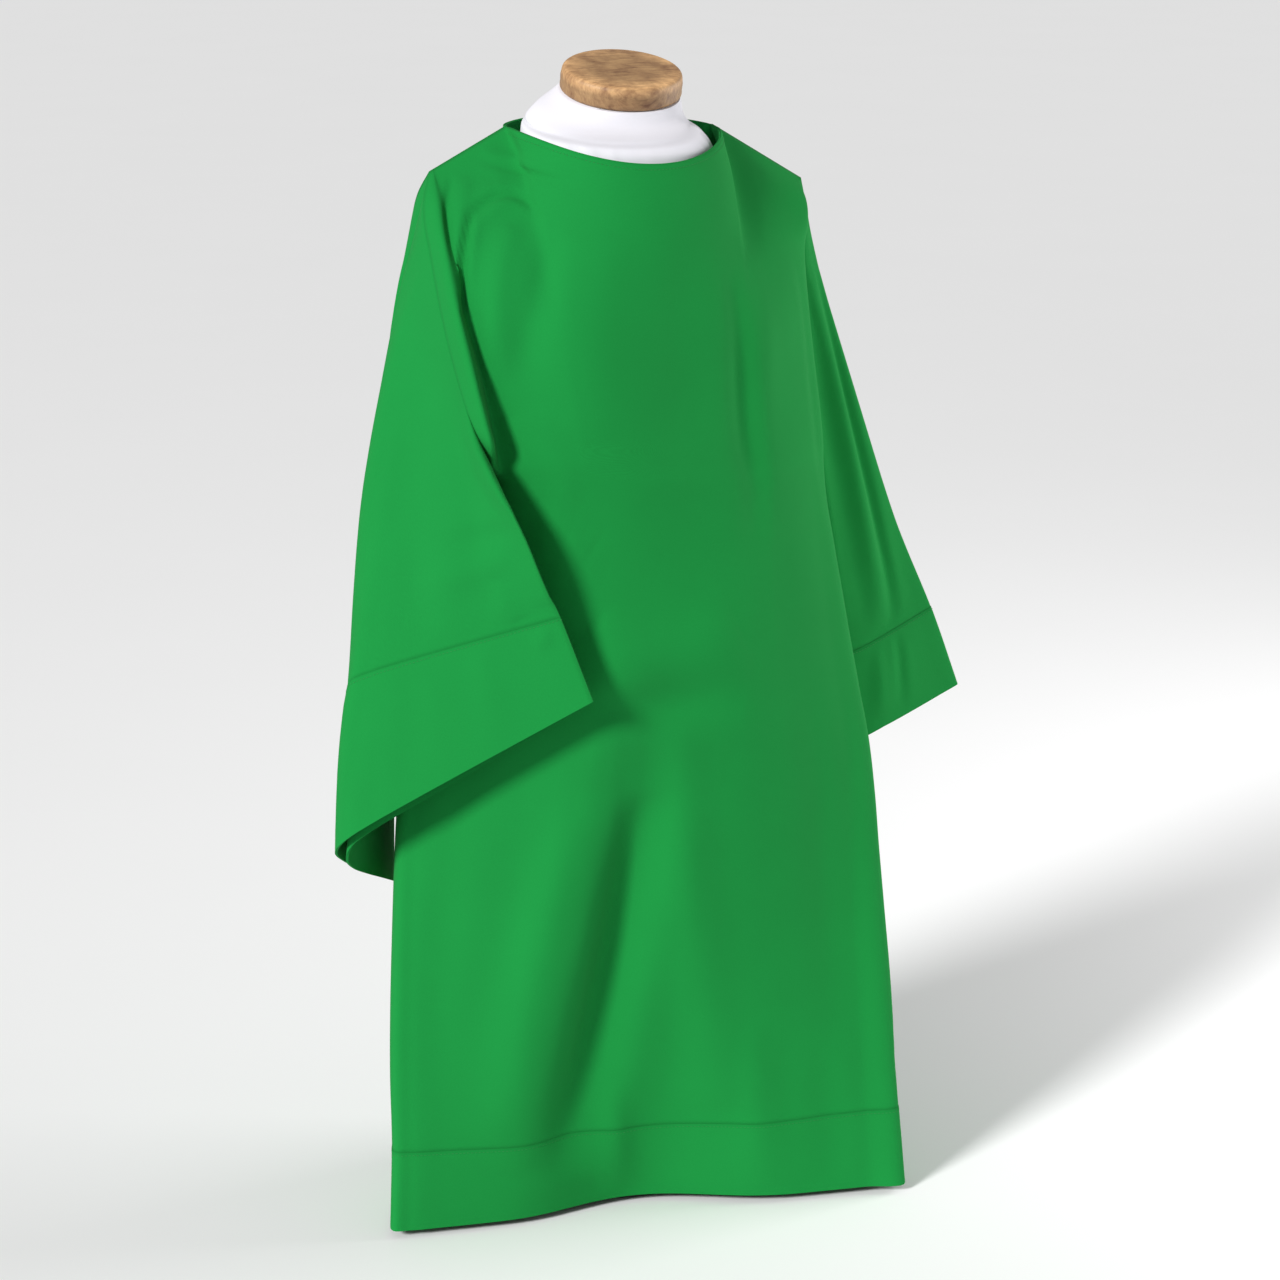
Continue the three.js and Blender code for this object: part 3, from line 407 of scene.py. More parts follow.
def sleeve_loop(stations, along, turn):
    """The closed line round a sleeve: up its visible layer and back down its hidden one."""
    station, following, previous = (
        read_table(stations, a) for a in (along, min(along + 0.05, CUFF_EDGE), max(along - 0.05, 0)))
    visible, hidden = [], []
    for j in range(ARMHOLE_ROWS + 1):
        s = j / ARMHOLE_ROWS
        p = sleeve_point(station, s)
        down = unit(sleeve_point(following, s) - sleeve_point(previous, s))
        near = max(s, TURN_FROM)
        across = sleeve_point(station, min(near + 0.02, 1)) - sleeve_point(station, near - 0.02)
        inward = unit(np.cross(across, down)) * turn
        apart = station["gap"] * (1 - abs(2 * s - 1) ** 6) ** 0.6
        visible.append(p)
        hidden.append(p + inward * apart + down * station["drop"] * math.sin(math.pi * s))
    return np.array(visible + hidden[-2::-1])


def sleeve_grid(side, armhole):
    """A sleeve and its cuff as one fine grid, from the armhole to the cuff's edge."""
    stations = SLEEVES[side]
    turn = {"right": -1, "left": 1}[side]
    coarse = armhole[::ROW_STEPS]
    start = sleeve_loop(stations, 0, turn)
    places = [*np.linspace(0, 1, SLEEVE_ROWS + 1), *np.linspace(1, CUFF_EDGE, CUFF_ROWS + 1)[1:]]
    rows = np.array([
        sleeve_loop(stations, a, turn) + (coarse - start) * max(0, 1 - a / ARMHOLE_REACH) ** 2
        for a in places])
    grid = refine(rows, SLEEVE_STEPS)
    grid = refine(grid.swapaxes(0, 1), ROW_STEPS).swapaxes(0, 1).copy()
    spread(grid, "top", armhole, 5)
    along = refine(np.array(places)[:, None], SLEEVE_STEPS)[:, 0]
    return grid, along


class Sheet:
    """One cut piece of cloth as a grid of points with the two scales that its creases use."""

    def __init__(self, grid, turn, across, down, sewn):
        self.grid = grid
        self.turn = turn
        self.across = across
        self.down = down
        self.sewn = sewn.split()
        self.normals = None

    def own_normals(self):
        g = self.grid
        faces = np.cross(g[1:, 1:] - g[:-1, :-1], g[:-1, 1:] - g[1:, :-1]) * self.turn
        total = np.zeros_like(g)
        for rows in (slice(None, -1), slice(1, None)):
            for columns in (slice(None, -1), slice(1, None)):
                total[rows, columns] += unit(faces)
        return unit(total)

    def edge_distance(self):
        """How far each point lies from the nearest sewn edge, along its row and along its column."""
        g = self.grid
        along_rows = np.concatenate([np.zeros_like(g[:1, :, 0]), np.cumsum(
            np.linalg.norm(np.diff(g, axis=0), axis=2), axis=0)])
        along_columns = np.concatenate([np.zeros_like(g[:, :1, 0]), np.cumsum(
            np.linalg.norm(np.diff(g, axis=1), axis=2), axis=1)], axis=1)
        ways = {
            "top": along_rows, "bottom": along_rows[-1:] - along_rows,
            "left": along_columns, "right": along_columns[:, -1:] - along_columns,
        }
        return np.min([ways[name] for name in self.sewn], axis=0), along_columns, along_rows


def share_normals(sheets):
    """Gives the sheets one normal at each point, to a tenth of a millimetre, of shared edges."""
    sums = {}
    edges = (np.s_[0], np.s_[-1], np.s_[:, 0], np.s_[:, -1])
    keys = {}
    for name, sheet in sheets.items():
        sheet.normals = sheet.own_normals()
        keys[name] = [[tuple(k) for k in np.round(sheet.grid[e] * 10).astype(int)] for e in edges]
    for name, sheet in sheets.items():
        seen = set()
        for e, line in zip(edges, keys[name]):
            for key, normal in zip(line, sheet.normals[e]):
                if key not in seen:
                    sums[key] = sums.get(key, 0) + normal
                    seen.add(key)
    for name, sheet in sheets.items():
        for e, line in zip(edges, keys[name]):
            sheet.normals[e] = unit(np.array([sums[key] for key in line]))


def crease_line(sheet, crease):
    """Points of a crease on its sheet, on a smooth run through its start, middle and end."""
    def run(key, shares):
        return sum(share * crease[prefix + key] for share, prefix in zip(shares, ("", "mid_", "to_")))
    height = np.ptp(sheet.down)
    points = []
    for t in np.linspace(0, 1, CREASE_POINTS):
        shares = ((1 - t) * (1 - 2 * t), 4 * t * (1 - t), t * (2 * t - 1))
        sideways = (sheet.across - run("across", shares)) * CREASE_SEARCH
        lengthways = (sheet.down - run("down", shares)) / height * CREASE_SEARCH
        misfit = sideways ** 2 + lengthways ** 2
        points.append(sheet.grid[np.unravel_index(np.argmin(misfit), misfit.shape)])
    points = np.array(points)
    for _ in range(CREASE_SMOOTHING):
        points[1:-1] = (points[:-2] + 2 * points[1:-1] + points[2:]) / 4
    return points


def crease_depths(sheet, creases):
    """Depth of the creases: soft ridges, and troughs between raised flanks, that fade at both ends."""
    points = sheet.grid.reshape(-1, 3)
    depth = np.zeros(len(points))
    for crease in creases:
        line = crease_line(sheet, crease)
        best = np.full(len(points), 1e9)
        place = np.zeros(len(points))
        for i in range(len(line) - 1):
            a, step = line[i], line[i + 1] - line[i]
            t = np.clip(((points - a) @ step) / max(step @ step, 1e-6), 0, 1)
            distance = np.linalg.norm(points - a - t[:, None] * step, axis=1)
            nearer = distance < best
            best[nearer] = distance[nearer]
            place[nearer] = (i + t[nearer]) / (len(line) - 1)
        fade = np.clip(4 * place * (1 - place), 0, 1) ** CREASE_FADE
        width = crease["width"] * mix(*CREASE_WIDTHS, place)
        profile = np.exp(-(best / width) ** 2)
        if crease["depth"] < 0:
            profile -= FLANK_SHARE * np.exp(-(best / (FLANK_REACH * width)) ** 2)
        depth += crease["depth"] * fade * profile
    depth = depth.reshape(sheet.grid.shape[:2])
    return depth * smooth_step(sheet.edge_distance()[0], 0, SEAM_CLEAR)


def cut_sheets():
    """Every sheet of the garment with its creases laid."""
    front, back = panel_grid("front"), panel_grid("back")
    underarm = ARMHOLE_ROWS * ROW_STEPS
    stitching = (ARMHOLE_ROWS + SIDE_ROWS) * ROW_STEPS
    sheets = {}
    for name, grid, turn in (("front", front, 1), ("back", back, -1)):
        lengths = np.linalg.norm(np.diff(grid, axis=1), axis=2).cumsum(axis=1)
        across = np.concatenate([np.zeros_like(lengths[:, :1]), lengths / lengths[:, -1:]], axis=1)
        down = grid[..., 2]
        cut = slice(None, stitching + 1)
        sheets[name] = Sheet(grid[cut].copy(), turn, across[cut], down[cut], "left right top bottom")
        cut = slice(stitching, None)
        sheets["hem_" + name] = Sheet(grid[cut].copy(), turn, across[cut], down[cut], "left right top")
    for side, turn, column in (("right", -1, 0), ("left", 1, -1)):
        armhole = np.concatenate([front[underarm::-1, column], back[1:underarm + 1, column]])
        grid, along = sleeve_grid(side, armhole)
        across = np.broadcast_to(np.linspace(0, 1, grid.shape[1]), grid.shape[:2])
        down = np.broadcast_to(along[:, None], grid.shape[:2])
        stitching_row = SLEEVE_ROWS * SLEEVE_STEPS
        for name, cut, sewn in (("sleeve_", slice(None, stitching_row + 1), "left right top bottom"),
                                ("cuff_", slice(stitching_row, None), "left right top")):
            sheets[name + side] = Sheet(grid[cut].copy(), turn, across[cut], down[cut], sewn)
    share_normals(sheets)
    depths = {}
    for panel in ("front", "back"):
        whole = join_sheets(sheets[panel], sheets["hem_" + panel], "left right top")
        depth = crease_depths(whole, CREASES[panel])
        rows = sheets[panel].grid.shape[0]
        depths[panel], depths["hem_" + panel] = depth[:rows], depth[rows - 1:]
    for side in ("right", "left"):
        for name in ("sleeve_", "cuff_"):
            depths[name + side] = crease_depths(sheets[name + side], CREASES[name + side])
    for name, depth in depths.items():
        sheets[name].grid += sheets[name].normals * depth[..., None]
    share_normals(sheets)
    return sheets


def join_sheets(upper, lower, sewn):
    """Two sheets as one, with the row that both have laid once."""
    grid, across, down = (np.concatenate([getattr(upper, key), getattr(lower, key)[1:]])
                          for key in ("grid", "across", "down"))
    return Sheet(grid, upper.turn, across, down, sewn)


SHEETS = cut_sheets()


# ---- Meshes --------------------------------------------------------------------------------------
def place_mesh(name, points, faces):
    """A new piece from points in the garment's own millimetres. Its object sits at the origin."""
    mesh = bpy.data.meshes.new(name)
    moved = (np.asarray(points, float) + (0, -BASE_SETBACK, 0)) * MM
    mesh.from_pydata(moved.tolist(), [], [tuple(int(i) for i in f) for f in faces])
    mesh.polygons.foreach_set("use_smooth", [True] * len(mesh.polygons))
    mesh.update()
    piece = bpy.data.objects.new(name, mesh)
    bpy.context.collection.objects.link(piece)
    return piece


def cloth_shell(name, sheet, wall, inset=0.0):
    """A sheet's thin closed wall, with a cloth scale in its UV map and its distance to a seam."""
    rows, columns = sheet.grid.shape[:2]
    layers = [sheet.grid + sheet.normals * (side * wall / 2 - inset) for side in (1, -1)]
    points = np.concatenate([layer.reshape(-1, 3) for layer in layers])
    index = np.arange(rows * columns).reshape(rows, columns)
    quads = np.stack([index[:-1, :-1], index[1:, :-1], index[1:, 1:], index[:-1, 1:]], axis=-1)
    quads = quads.reshape(-1, 4)
    if sheet.turn < 0:
        quads = quads[:, ::-1]
    rim = np.concatenate([index[:, 0], index[-1, 1:], index[-2::-1, -1], index[0, -2:0:-1]])
    following = np.roll(rim, -1)
    far = rows * columns
    sides = np.stack([rim, rim + far, following + far, following], axis=-1)
    if sheet.turn < 0:
        sides = sides[:, ::-1]
    faces = np.concatenate([quads, quads[:, ::-1] + far, sides])
    piece = place_mesh(name, points, faces)
    mesh = piece.data
    distance, across, down = sheet.edge_distance()
    # The distance to a seam sets the painted shade and the drawn-in relief along it.
    seam = mesh.attributes.new("seam_distance", "FLOAT", "POINT")
    seam.data.foreach_set("value", np.tile(distance.ravel() * MM, 2))
    corners = np.array([loop.vertex_index for loop in mesh.loops])
    scale = np.stack([across.ravel(), down.ravel()], axis=-1) * MM
    uv = mesh.uv_layers.new(name="cloth")
    uv.data.foreach_set("uv", np.tile(scale, (2, 1))[corners].ravel())
    normals = np.concatenate([sheet.normals.reshape(-1, 3), -sheet.normals.reshape(-1, 3)])[corners]
    first_side = 8 * len(quads)
    flat = np.repeat(np.array([p.normal[:] for p in mesh.polygons[2 * len(quads):]]), 4, axis=0)
    normals[first_side:] = flat
    mesh.normals_split_custom_set(normals.tolist())
    return piece


def turned_rings(name, rings):
    """A closed piece through rings of points, each a full turn, from the top one to the bottom."""
    rings = np.asarray(rings, float)
    count, sides = rings.shape[:2]
    index = np.arange(count * sides).reshape(count, sides)
    after = np.roll(index, -1, axis=1)
    faces = [tuple(f) for f in np.stack(
        [index[:-1], index[1:], after[1:], after[:-1]], axis=-1).reshape(-1, 4)]
    points = rings.reshape(-1, 3)
    for ring, turn in ((0, 1), (count - 1, -1)):
        centre = len(points)
        points = np.vstack([points, rings[ring].mean(axis=0)])
        faces += [(centre, *pair[::turn]) for pair in zip(index[ring], after[ring])]
    piece = place_mesh(name, points, faces)
    piece.data.set_sharp_from_angle(angle=math.radians(40))
    return piece


# ---- Node helpers --------------------------------------------------------------------------------
def add_node(tree, kind, props=(), inputs=()):
    """A node with its properties set by name and its inputs' values by name or index."""
    node = tree.nodes.new(kind)
    for key, value in dict(props).items():
        setattr(node, key, value)
    for key, value in dict(inputs).items():
        node.inputs[key].default_value = value
    return node


def math_node(tree, operation, a, b=None, c=None):
    """The result of a sum whose terms are numbers or sockets."""
    node = add_node(tree, "ShaderNodeMath", props={"operation": operation})
    for socket, value in zip(node.inputs, (a, b, c)):
        if value is None:
            continue
        if isinstance(value, (int, float)):
            socket.default_value = value
        else:
            tree.links.new(value, socket)
    return node.outputs[0]


def add_noise(tree, place, scale, detail, roughness=0.5, distortion=0.0):
    """Noise over a place, about one half on average."""
    noise = add_node(tree, "ShaderNodeTexNoise", inputs={
        "Scale": scale, "Detail": detail, "Roughness": roughness, "Distortion": distortion})
    tree.links.new(place, noise.inputs["Vector"])
    return noise.outputs["Fac"]


def add_bump(tree, surface, height, strength, distance):
    """Fine relief on a surface, as deep as a distance in metres."""
    bump = add_node(tree, "ShaderNodeBump", inputs={"Strength": strength, "Distance": distance})
    tree.links.new(height, bump.inputs["Height"])
    tree.links.new(bump.outputs["Normal"], surface.inputs["Normal"])


def new_group(name, inputs, outputs):
    """A shader node group with its named sockets, and its input and output nodes."""
    group = bpy.data.node_groups.new(name, "ShaderNodeTree")
    for socket, kind, value in inputs:
        item = group.interface.new_socket(name=socket, in_out="INPUT", socket_type=kind)
        if value is not None:
            item.default_value = value
    for socket, kind in outputs:
        group.interface.new_socket(name=socket, in_out="OUTPUT", socket_type=kind)
    return group, group.nodes.new("NodeGroupInput"), group.nodes.new("NodeGroupOutput")


def weave_group():
    """A twill's diagonal ribs and its uneven threads, from a cloth scale in metres."""
    if "Twill weave" in bpy.data.node_groups:
        return bpy.data.node_groups["Twill weave"]
    group, given, result = new_group(
        "Twill weave",
        [("Cloth Scale", "NodeSocketVector", None), ("Rib Spacing", "NodeSocketFloat", 0.0011),
         ("Slub", "NodeSocketFloat", 0.5)],
        [("Height", "NodeSocketFloat"), ("Tone", "NodeSocketFloat")])
    split = add_node(group, "ShaderNodeSeparateXYZ")
    group.links.new(given.outputs["Cloth Scale"], split.inputs[0])
    turns = math_node(group, "DIVIDE", 2 * math.pi, given.outputs["Rib Spacing"])
    diagonal = math_node(group, "ADD", split.outputs["X"], split.outputs["Y"])
    rib = math_node(group, "SINE", math_node(group, "MULTIPLY", diagonal, turns))
    thread = math_node(group, "SINE", math_node(
        group, "MULTIPLY", split.outputs["X"], math_node(group, "MULTIPLY", turns, 2.0)))
    uneven = add_noise(group, given.outputs["Cloth Scale"], 520.0, 3.0, 0.7)
    slub = math_node(group, "MULTIPLY", uneven, given.outputs["Slub"])
    ribs = math_node(group, "MULTIPLY_ADD", rib, 0.25, math_node(group, "MULTIPLY", thread, 0.1))
    group.links.new(math_node(group, "ADD", ribs, slub), result.inputs["Height"])
    tone = math_node(group, "MULTIPLY_ADD", rib, 0.12, uneven)
    group.links.new(tone, result.inputs["Tone"])
    return group


def seam_group():
    """A seam's drawn-in line and the soft swell of the cloth beside it, from the distance to it."""
    if "Seam line" in bpy.data.node_groups:
        return bpy.data.node_groups["Seam line"]
    group, given, result = new_group(
        "Seam line",
        [("Distance", "NodeSocketFloat", 1.0), ("Reach", "NodeSocketFloat", 0.0026)],
        [("Mask", "NodeSocketFloat"), ("Height", "NodeSocketFloat")])
    share = math_node(group, "DIVIDE", given.outputs["Distance"], given.outputs["Reach"])
    mask = math_node(group, "EXPONENT", math_node(
        group, "MULTIPLY", math_node(group, "MULTIPLY", share, share), -1.0))
    # The mask sets the painted shade along the seam in the cloth's colour; the height is its drawn-in
    # relief.
    group.links.new(mask, result.inputs["Mask"])
    group.links.new(math_node(group, "MULTIPLY", mask, -1.0), result.inputs["Height"])
    return group


def mottle_group():
    """Slow and fast unevenness of a surface's tone, about one on average."""
    if "Mottle" in bpy.data.node_groups:
        return bpy.data.node_groups["Mottle"]
    group, given, result = new_group(
        "Mottle",
        [("Place", "NodeSocketVector", None), ("Patch Size", "NodeSocketFloat", 0.08),
         ("Amount", "NodeSocketFloat", 0.06)],
        [("Tone", "NodeSocketFloat")])
    scale = math_node(group, "DIVIDE", 1.0, given.outputs["Patch Size"])
    noise = add_node(group, "ShaderNodeTexNoise", inputs={"Detail": 4.0, "Roughness": 0.55})
    group.links.new(given.outputs["Place"], noise.inputs["Vector"])
    group.links.new(scale, noise.inputs["Scale"])
    centred = math_node(group, "SUBTRACT", noise.outputs["Fac"], 0.5)
    group.links.new(math_node(group, "MULTIPLY_ADD", centred, given.outputs["Amount"], 1.0),
                    result.inputs["Tone"])
    return group


def new_material(name):
    material = bpy.data.materials.new(name)
    material.use_nodes = True
    return material, material.node_tree, material.node_tree.nodes["Principled BSDF"]


def mottled(tree, place, patch_size, amount):
    """The tone of a surface that is uneven over a place."""
    mottle = add_node(tree, "ShaderNodeGroup", {"node_tree": mottle_group()},
                      {"Patch Size": patch_size, "Amount": amount})
    tree.links.new(place, mottle.inputs["Place"])
    return mottle.outputs["Tone"]


def toned(tree, colour, tone):
    """A colour, or a socket's colour, multiplied by a tone."""
    node = add_node(tree, "ShaderNodeVectorMath", {"operation": "SCALE"})
    if isinstance(colour, bpy.types.NodeSocket):
        tree.links.new(colour, node.inputs[0])
    else:
        node.inputs[0].default_value = colour[:3]
    tree.links.new(tone, node.inputs["Scale"])
    return node.outputs[0]


def cloth_material(name, colour, rib, amount, sheen):
    """Woven cloth: ribs in its own threads, slow unevenness, and seams drawn in with painted shade along
    them.
    """
    if name in bpy.data.materials:
        return bpy.data.materials[name]
    material, tree, surface = new_material(name)
    coordinates = add_node(tree, "ShaderNodeTexCoord")
    weave = add_node(tree, "ShaderNodeGroup", {"node_tree": weave_group()}, {"Rib Spacing": rib})
    tree.links.new(coordinates.outputs["UV"], weave.inputs["Cloth Scale"])
    edge = add_node(tree, "ShaderNodeAttribute", {"attribute_name": "seam_distance"})
    seam = add_node(tree, "ShaderNodeGroup", {"node_tree": seam_group()})
    tree.links.new(edge.outputs["Fac"], seam.inputs["Distance"])
    fine = math_node(tree, "MULTIPLY_ADD", weave.outputs["Tone"], 0.22, 0.89)
    tone = math_node(tree, "MULTIPLY", fine, mottled(tree, coordinates.outputs["Object"], 0.09, amount))
    # Painted shade: the colour darkens by up to 0.12 along each seam, standing for shade in its groove.
    seam_shade = math_node(tree, "MULTIPLY_ADD", seam.outputs["Mask"], -0.12, 1.0)
    tone = math_node(tree, "MULTIPLY", tone, seam_shade)
    tree.links.new(toned(tree, colour, tone), surface.inputs["Base Color"])
    height = math_node(tree, "MULTIPLY_ADD", weave.outputs["Height"], 0.16, seam.outputs["Height"])
    add_bump(tree, surface, height, 0.6, 0.0010)
    surface.inputs["Roughness"].default_value = 0.94
    surface.inputs["Sheen Weight"].default_value = sheen
    surface.inputs["Sheen Roughness"].default_value = 0.45
    surface.inputs["Sheen Tint"].default_value = (*[mix(c, 1, 0.4) for c in colour[:3]], 1)
    surface.inputs["Specular IOR Level"].default_value = 0.12
    return material


def thread_material(name, colour):
    """Sewing thread: two plies twisted round each other."""
    if name in bpy.data.materials:
        return bpy.data.materials[name]
    material, tree, surface = new_material(name)
    place = add_node(tree, "ShaderNodeTexCoord").outputs["Object"]
    tree.links.new(toned(tree, colour, mottled(tree, place, 0.002, 0.5)), surface.inputs["Base Color"])
    add_bump(tree, surface, add_noise(tree, place, 2400.0, 2.0), 0.4, 0.0002)
    surface.inputs["Roughness"].default_value = 0.7
    return material


def wood_material(looks):
    """Turned hardwood: long grain across the cap, flecks, uneven patches, painted rim highlight and side
    shade.
    """
    material, tree, surface = new_material("neck_cap_wood")
    place = add_node(tree, "ShaderNodeTexCoord").outputs["Object"]
    stretch = add_node(tree, "ShaderNodeMapping", inputs={
        "Scale": (60.0, 420.0, 120.0), "Rotation": (0.0, 0.0, math.radians(12))})
    tree.links.new(place, stretch.inputs["Vector"])
    grain = add_noise(tree, stretch.outputs["Vector"], 1.0, 6.0, 0.62, 0.6)
    patches = add_noise(tree, place, 42.0, 5.0, 0.6)
    both = math_node(tree, "MULTIPLY_ADD", patches, 0.55, math_node(tree, "MULTIPLY", grain, 0.5))
    ramp = add_node(tree, "ShaderNodeValToRGB")
    for element, position, colour in zip(ramp.color_ramp.elements, (0.34, 0.68),
                                         (looks.wood_dark, looks.wood_light)):
        element.position = position
        element.color = (*colour, 1)
    tree.links.new(both, ramp.inputs["Fac"])
    # Painted light: a painted highlight along the rim and painted shade on the side, made patchy.
    painted_light = add_node(tree, "ShaderNodeAttribute", {"attribute_name": "painted_cap_light"})
    patchy = math_node(tree, "MULTIPLY_ADD", patches, 1.6, -0.3)
    patchy_painted_light = math_node(tree, "MULTIPLY", painted_light.outputs["Fac"], patchy)
    painted_light_tone = math_node(tree, "MULTIPLY_ADD", patchy_painted_light, 0.9, 1.0)
    tree.links.new(toned(tree, ramp.outputs["Color"], painted_light_tone), surface.inputs["Base Color"])
    add_bump(tree, surface, both, 0.5, 0.0010)
    tree.links.new(math_node(tree, "MULTIPLY_ADD", patches, 0.25, 0.42), surface.inputs["Roughness"])
    return material


def stand_material(looks):
    """Powder-coated steel: a fine orange-peel skin with dust on it."""
    if "stand_coating" in bpy.data.materials:
        return bpy.data.materials["stand_coating"]
    material, tree, surface = new_material("stand_coating")
    place = add_node(tree, "ShaderNodeTexCoord").outputs["Object"]
    tone = mottled(tree, place, 0.012, 0.5)
    tree.links.new(toned(tree, looks.steel_colour, tone), surface.inputs["Base Color"])
    add_bump(tree, surface, add_noise(tree, place, 900.0, 2.0), 0.25, 0.0003)
    surface.inputs["Metallic"].default_value = 0.3
    surface.inputs["Roughness"].default_value = 0.5
    return material


# ---- Settings a user would change ----------------------------------------------------------------
def length_setting(name, description, default, low, high):
    return FloatProperty(name=name, description=description, default=default, min=low, max=high,
                         unit="LENGTH", precision=4)


def colour_setting(name, description, default):
    return FloatVectorProperty(name=name, description=description, default=default,
                               subtype="COLOR", size=3, min=0, max=1)


class DalmaticSizes(bpy.types.PropertyGroup):
    """Thicknesses and stitching of the garment."""
    wall: length_setting("Cloth", "Thickness of one layer as it hangs", 0.0016, 0.001, 0.003)
    turned_wall: length_setting("Turned cloth", "Thickness of a turned hem or cuff", 0.0026, 0.001, 0.004)
    facing_wall: length_setting("Facing", "Thickness of the neck facing", 0.001, 0.0005, 0.002)
    facing_gap: length_setting("Facing gap", "Room between facing and panel", 0.0005, 0.0001, 0.001)
    stitch: length_setting("Stitch", "Length of one stitch that shows", 0.0028, 0.001, 0.006)
    stitch_pitch: length_setting("Stitch pitch", "From one stitch to the next", 0.0042, 0.002, 0.01)
    thread: length_setting("Thread", "Thickness of the sewing thread", 0.0006, 0.0002, 0.002)


class DalmaticLooks(bpy.types.PropertyGroup):
    """Colours of the cloth, the dress form and its stand."""
    cloth_colour: colour_setting("Green", "Colour of the dyed cloth", (0.0075, 0.236, 0.042))
    thread_colour: colour_setting("Thread", "Colour of the sewing thread", (0.0075, 0.205, 0.036))
    cover_colour: colour_setting("Cover", "Colour of the dress form's cover", (0.76, 0.75, 0.80))
    wood_dark: colour_setting("Wood, dark", "Dark grain of the neck cap", (0.15, 0.062, 0.026))
    wood_light: colour_setting("Wood, light", "Light grain of the neck cap", (0.55, 0.33, 0.15))
    steel_colour: colour_setting("Stand", "Colour of the stand's coating", (0.022, 0.022, 0.024))
    rib: length_setting("Twill rib", "From one diagonal rib to the next", 0.0011, 0.0004, 0.004)
    sides: IntProperty(name="Sides", description="Sides of the form's turned pieces",
                       default=96, min=24, max=240)


def settings():
    scene = bpy.context.scene
    return scene.dalmatic_sizes, scene.dalmatic_looks


def green_cloth():
    looks = settings()[1]
    return cloth_material("green_twill", looks.cloth_colour, looks.rib, 0.10, 0.04)


def finish_piece(piece, material, slot, *nodes):
    """Gives a finished piece its material and its place on the body, and hides the CAD nodes it stands for.
    """
    piece.data.materials.append(material)
    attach(piece, "root")
    if nodes:
        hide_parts(*nodes)


def sew_sheet(name, wall, inset=0.0):
    sheet = SHEETS[name]
    piece = cloth_shell(name + "_cloth", sheet, wall / MM, inset)
    finish_piece(piece, green_cloth(), "green_cloth", name)


# ---- Pieces --------------------------------------------------------------------------------------
class DALMATIC_OT_panels(bpy.types.Operator):
    """Make the front and the back, from the shoulders and neckline to the hem's stitching"""
    bl_idname = "dalmatic.make_panels"
    bl_label = "Front and back"

    def execute(self, context):
        for name in ("front", "back"):
            sew_sheet(name, context.scene.dalmatic_sizes.wall)
        return {"FINISHED"}


class DALMATIC_OT_hems(bpy.types.Operator):
    """Make the deep turned hems below the front and the back"""
    bl_idname = "dalmatic.make_hems"
    bl_label = "Hems"

    def execute(self, context):
        for name in ("front", "back"):
            sew_sheet("hem_" + name, context.scene.dalmatic_sizes.turned_wall)
        return {"FINISHED"}


class DALMATIC_OT_sleeves(bpy.types.Operator):
    """Make both sleeves, each folded over at the top and seamed under the arm"""
    bl_idname = "dalmatic.make_sleeves"
    bl_label = "Sleeves"

    def execute(self, context):
        for side in ("right", "left"):
            sew_sheet("sleeve_" + side, context.scene.dalmatic_sizes.wall)
        return {"FINISHED"}


class DALMATIC_OT_cuffs(bpy.types.Operator):
    """Make the deep turned cuffs at the ends of the sleeves"""
    bl_idname = "dalmatic.make_cuffs"
    bl_label = "Cuffs"

    def execute(self, context):
        for side in ("right", "left"):
            sew_sheet("cuff_" + side, context.scene.dalmatic_sizes.turned_wall)
        return {"FINISHED"}


class DALMATIC_OT_facings(bpy.types.Operator):
    """Make the narrow facings inside the neckline, under the first stretch of the panels"""
    bl_idname = "dalmatic.make_facings"
    bl_label = "Neck facings"

    def execute(self, context):
        sizes = context.scene.dalmatic_sizes
        columns = slice((NECK_START - 1) * COLUMN_STEPS, (NECK_END + 1) * COLUMN_STEPS + 1)
        rows = slice(0, ROW_STEPS + 1)
        for panel in ("front", "back"):
            whole = SHEETS[panel]
            facing = Sheet(whole.grid[rows, columns], whole.turn, whole.across[rows, columns],
                           whole.down[rows, columns], "top")
            facing.normals = whole.normals[rows, columns]
            SHEETS["facing_" + panel] = facing
            inset = (sizes.wall / 2 + sizes.facing_gap + sizes.facing_wall / 2) / MM
            sew_sheet("facing_" + panel, sizes.facing_wall, inset)
        return {"FINISHED"}


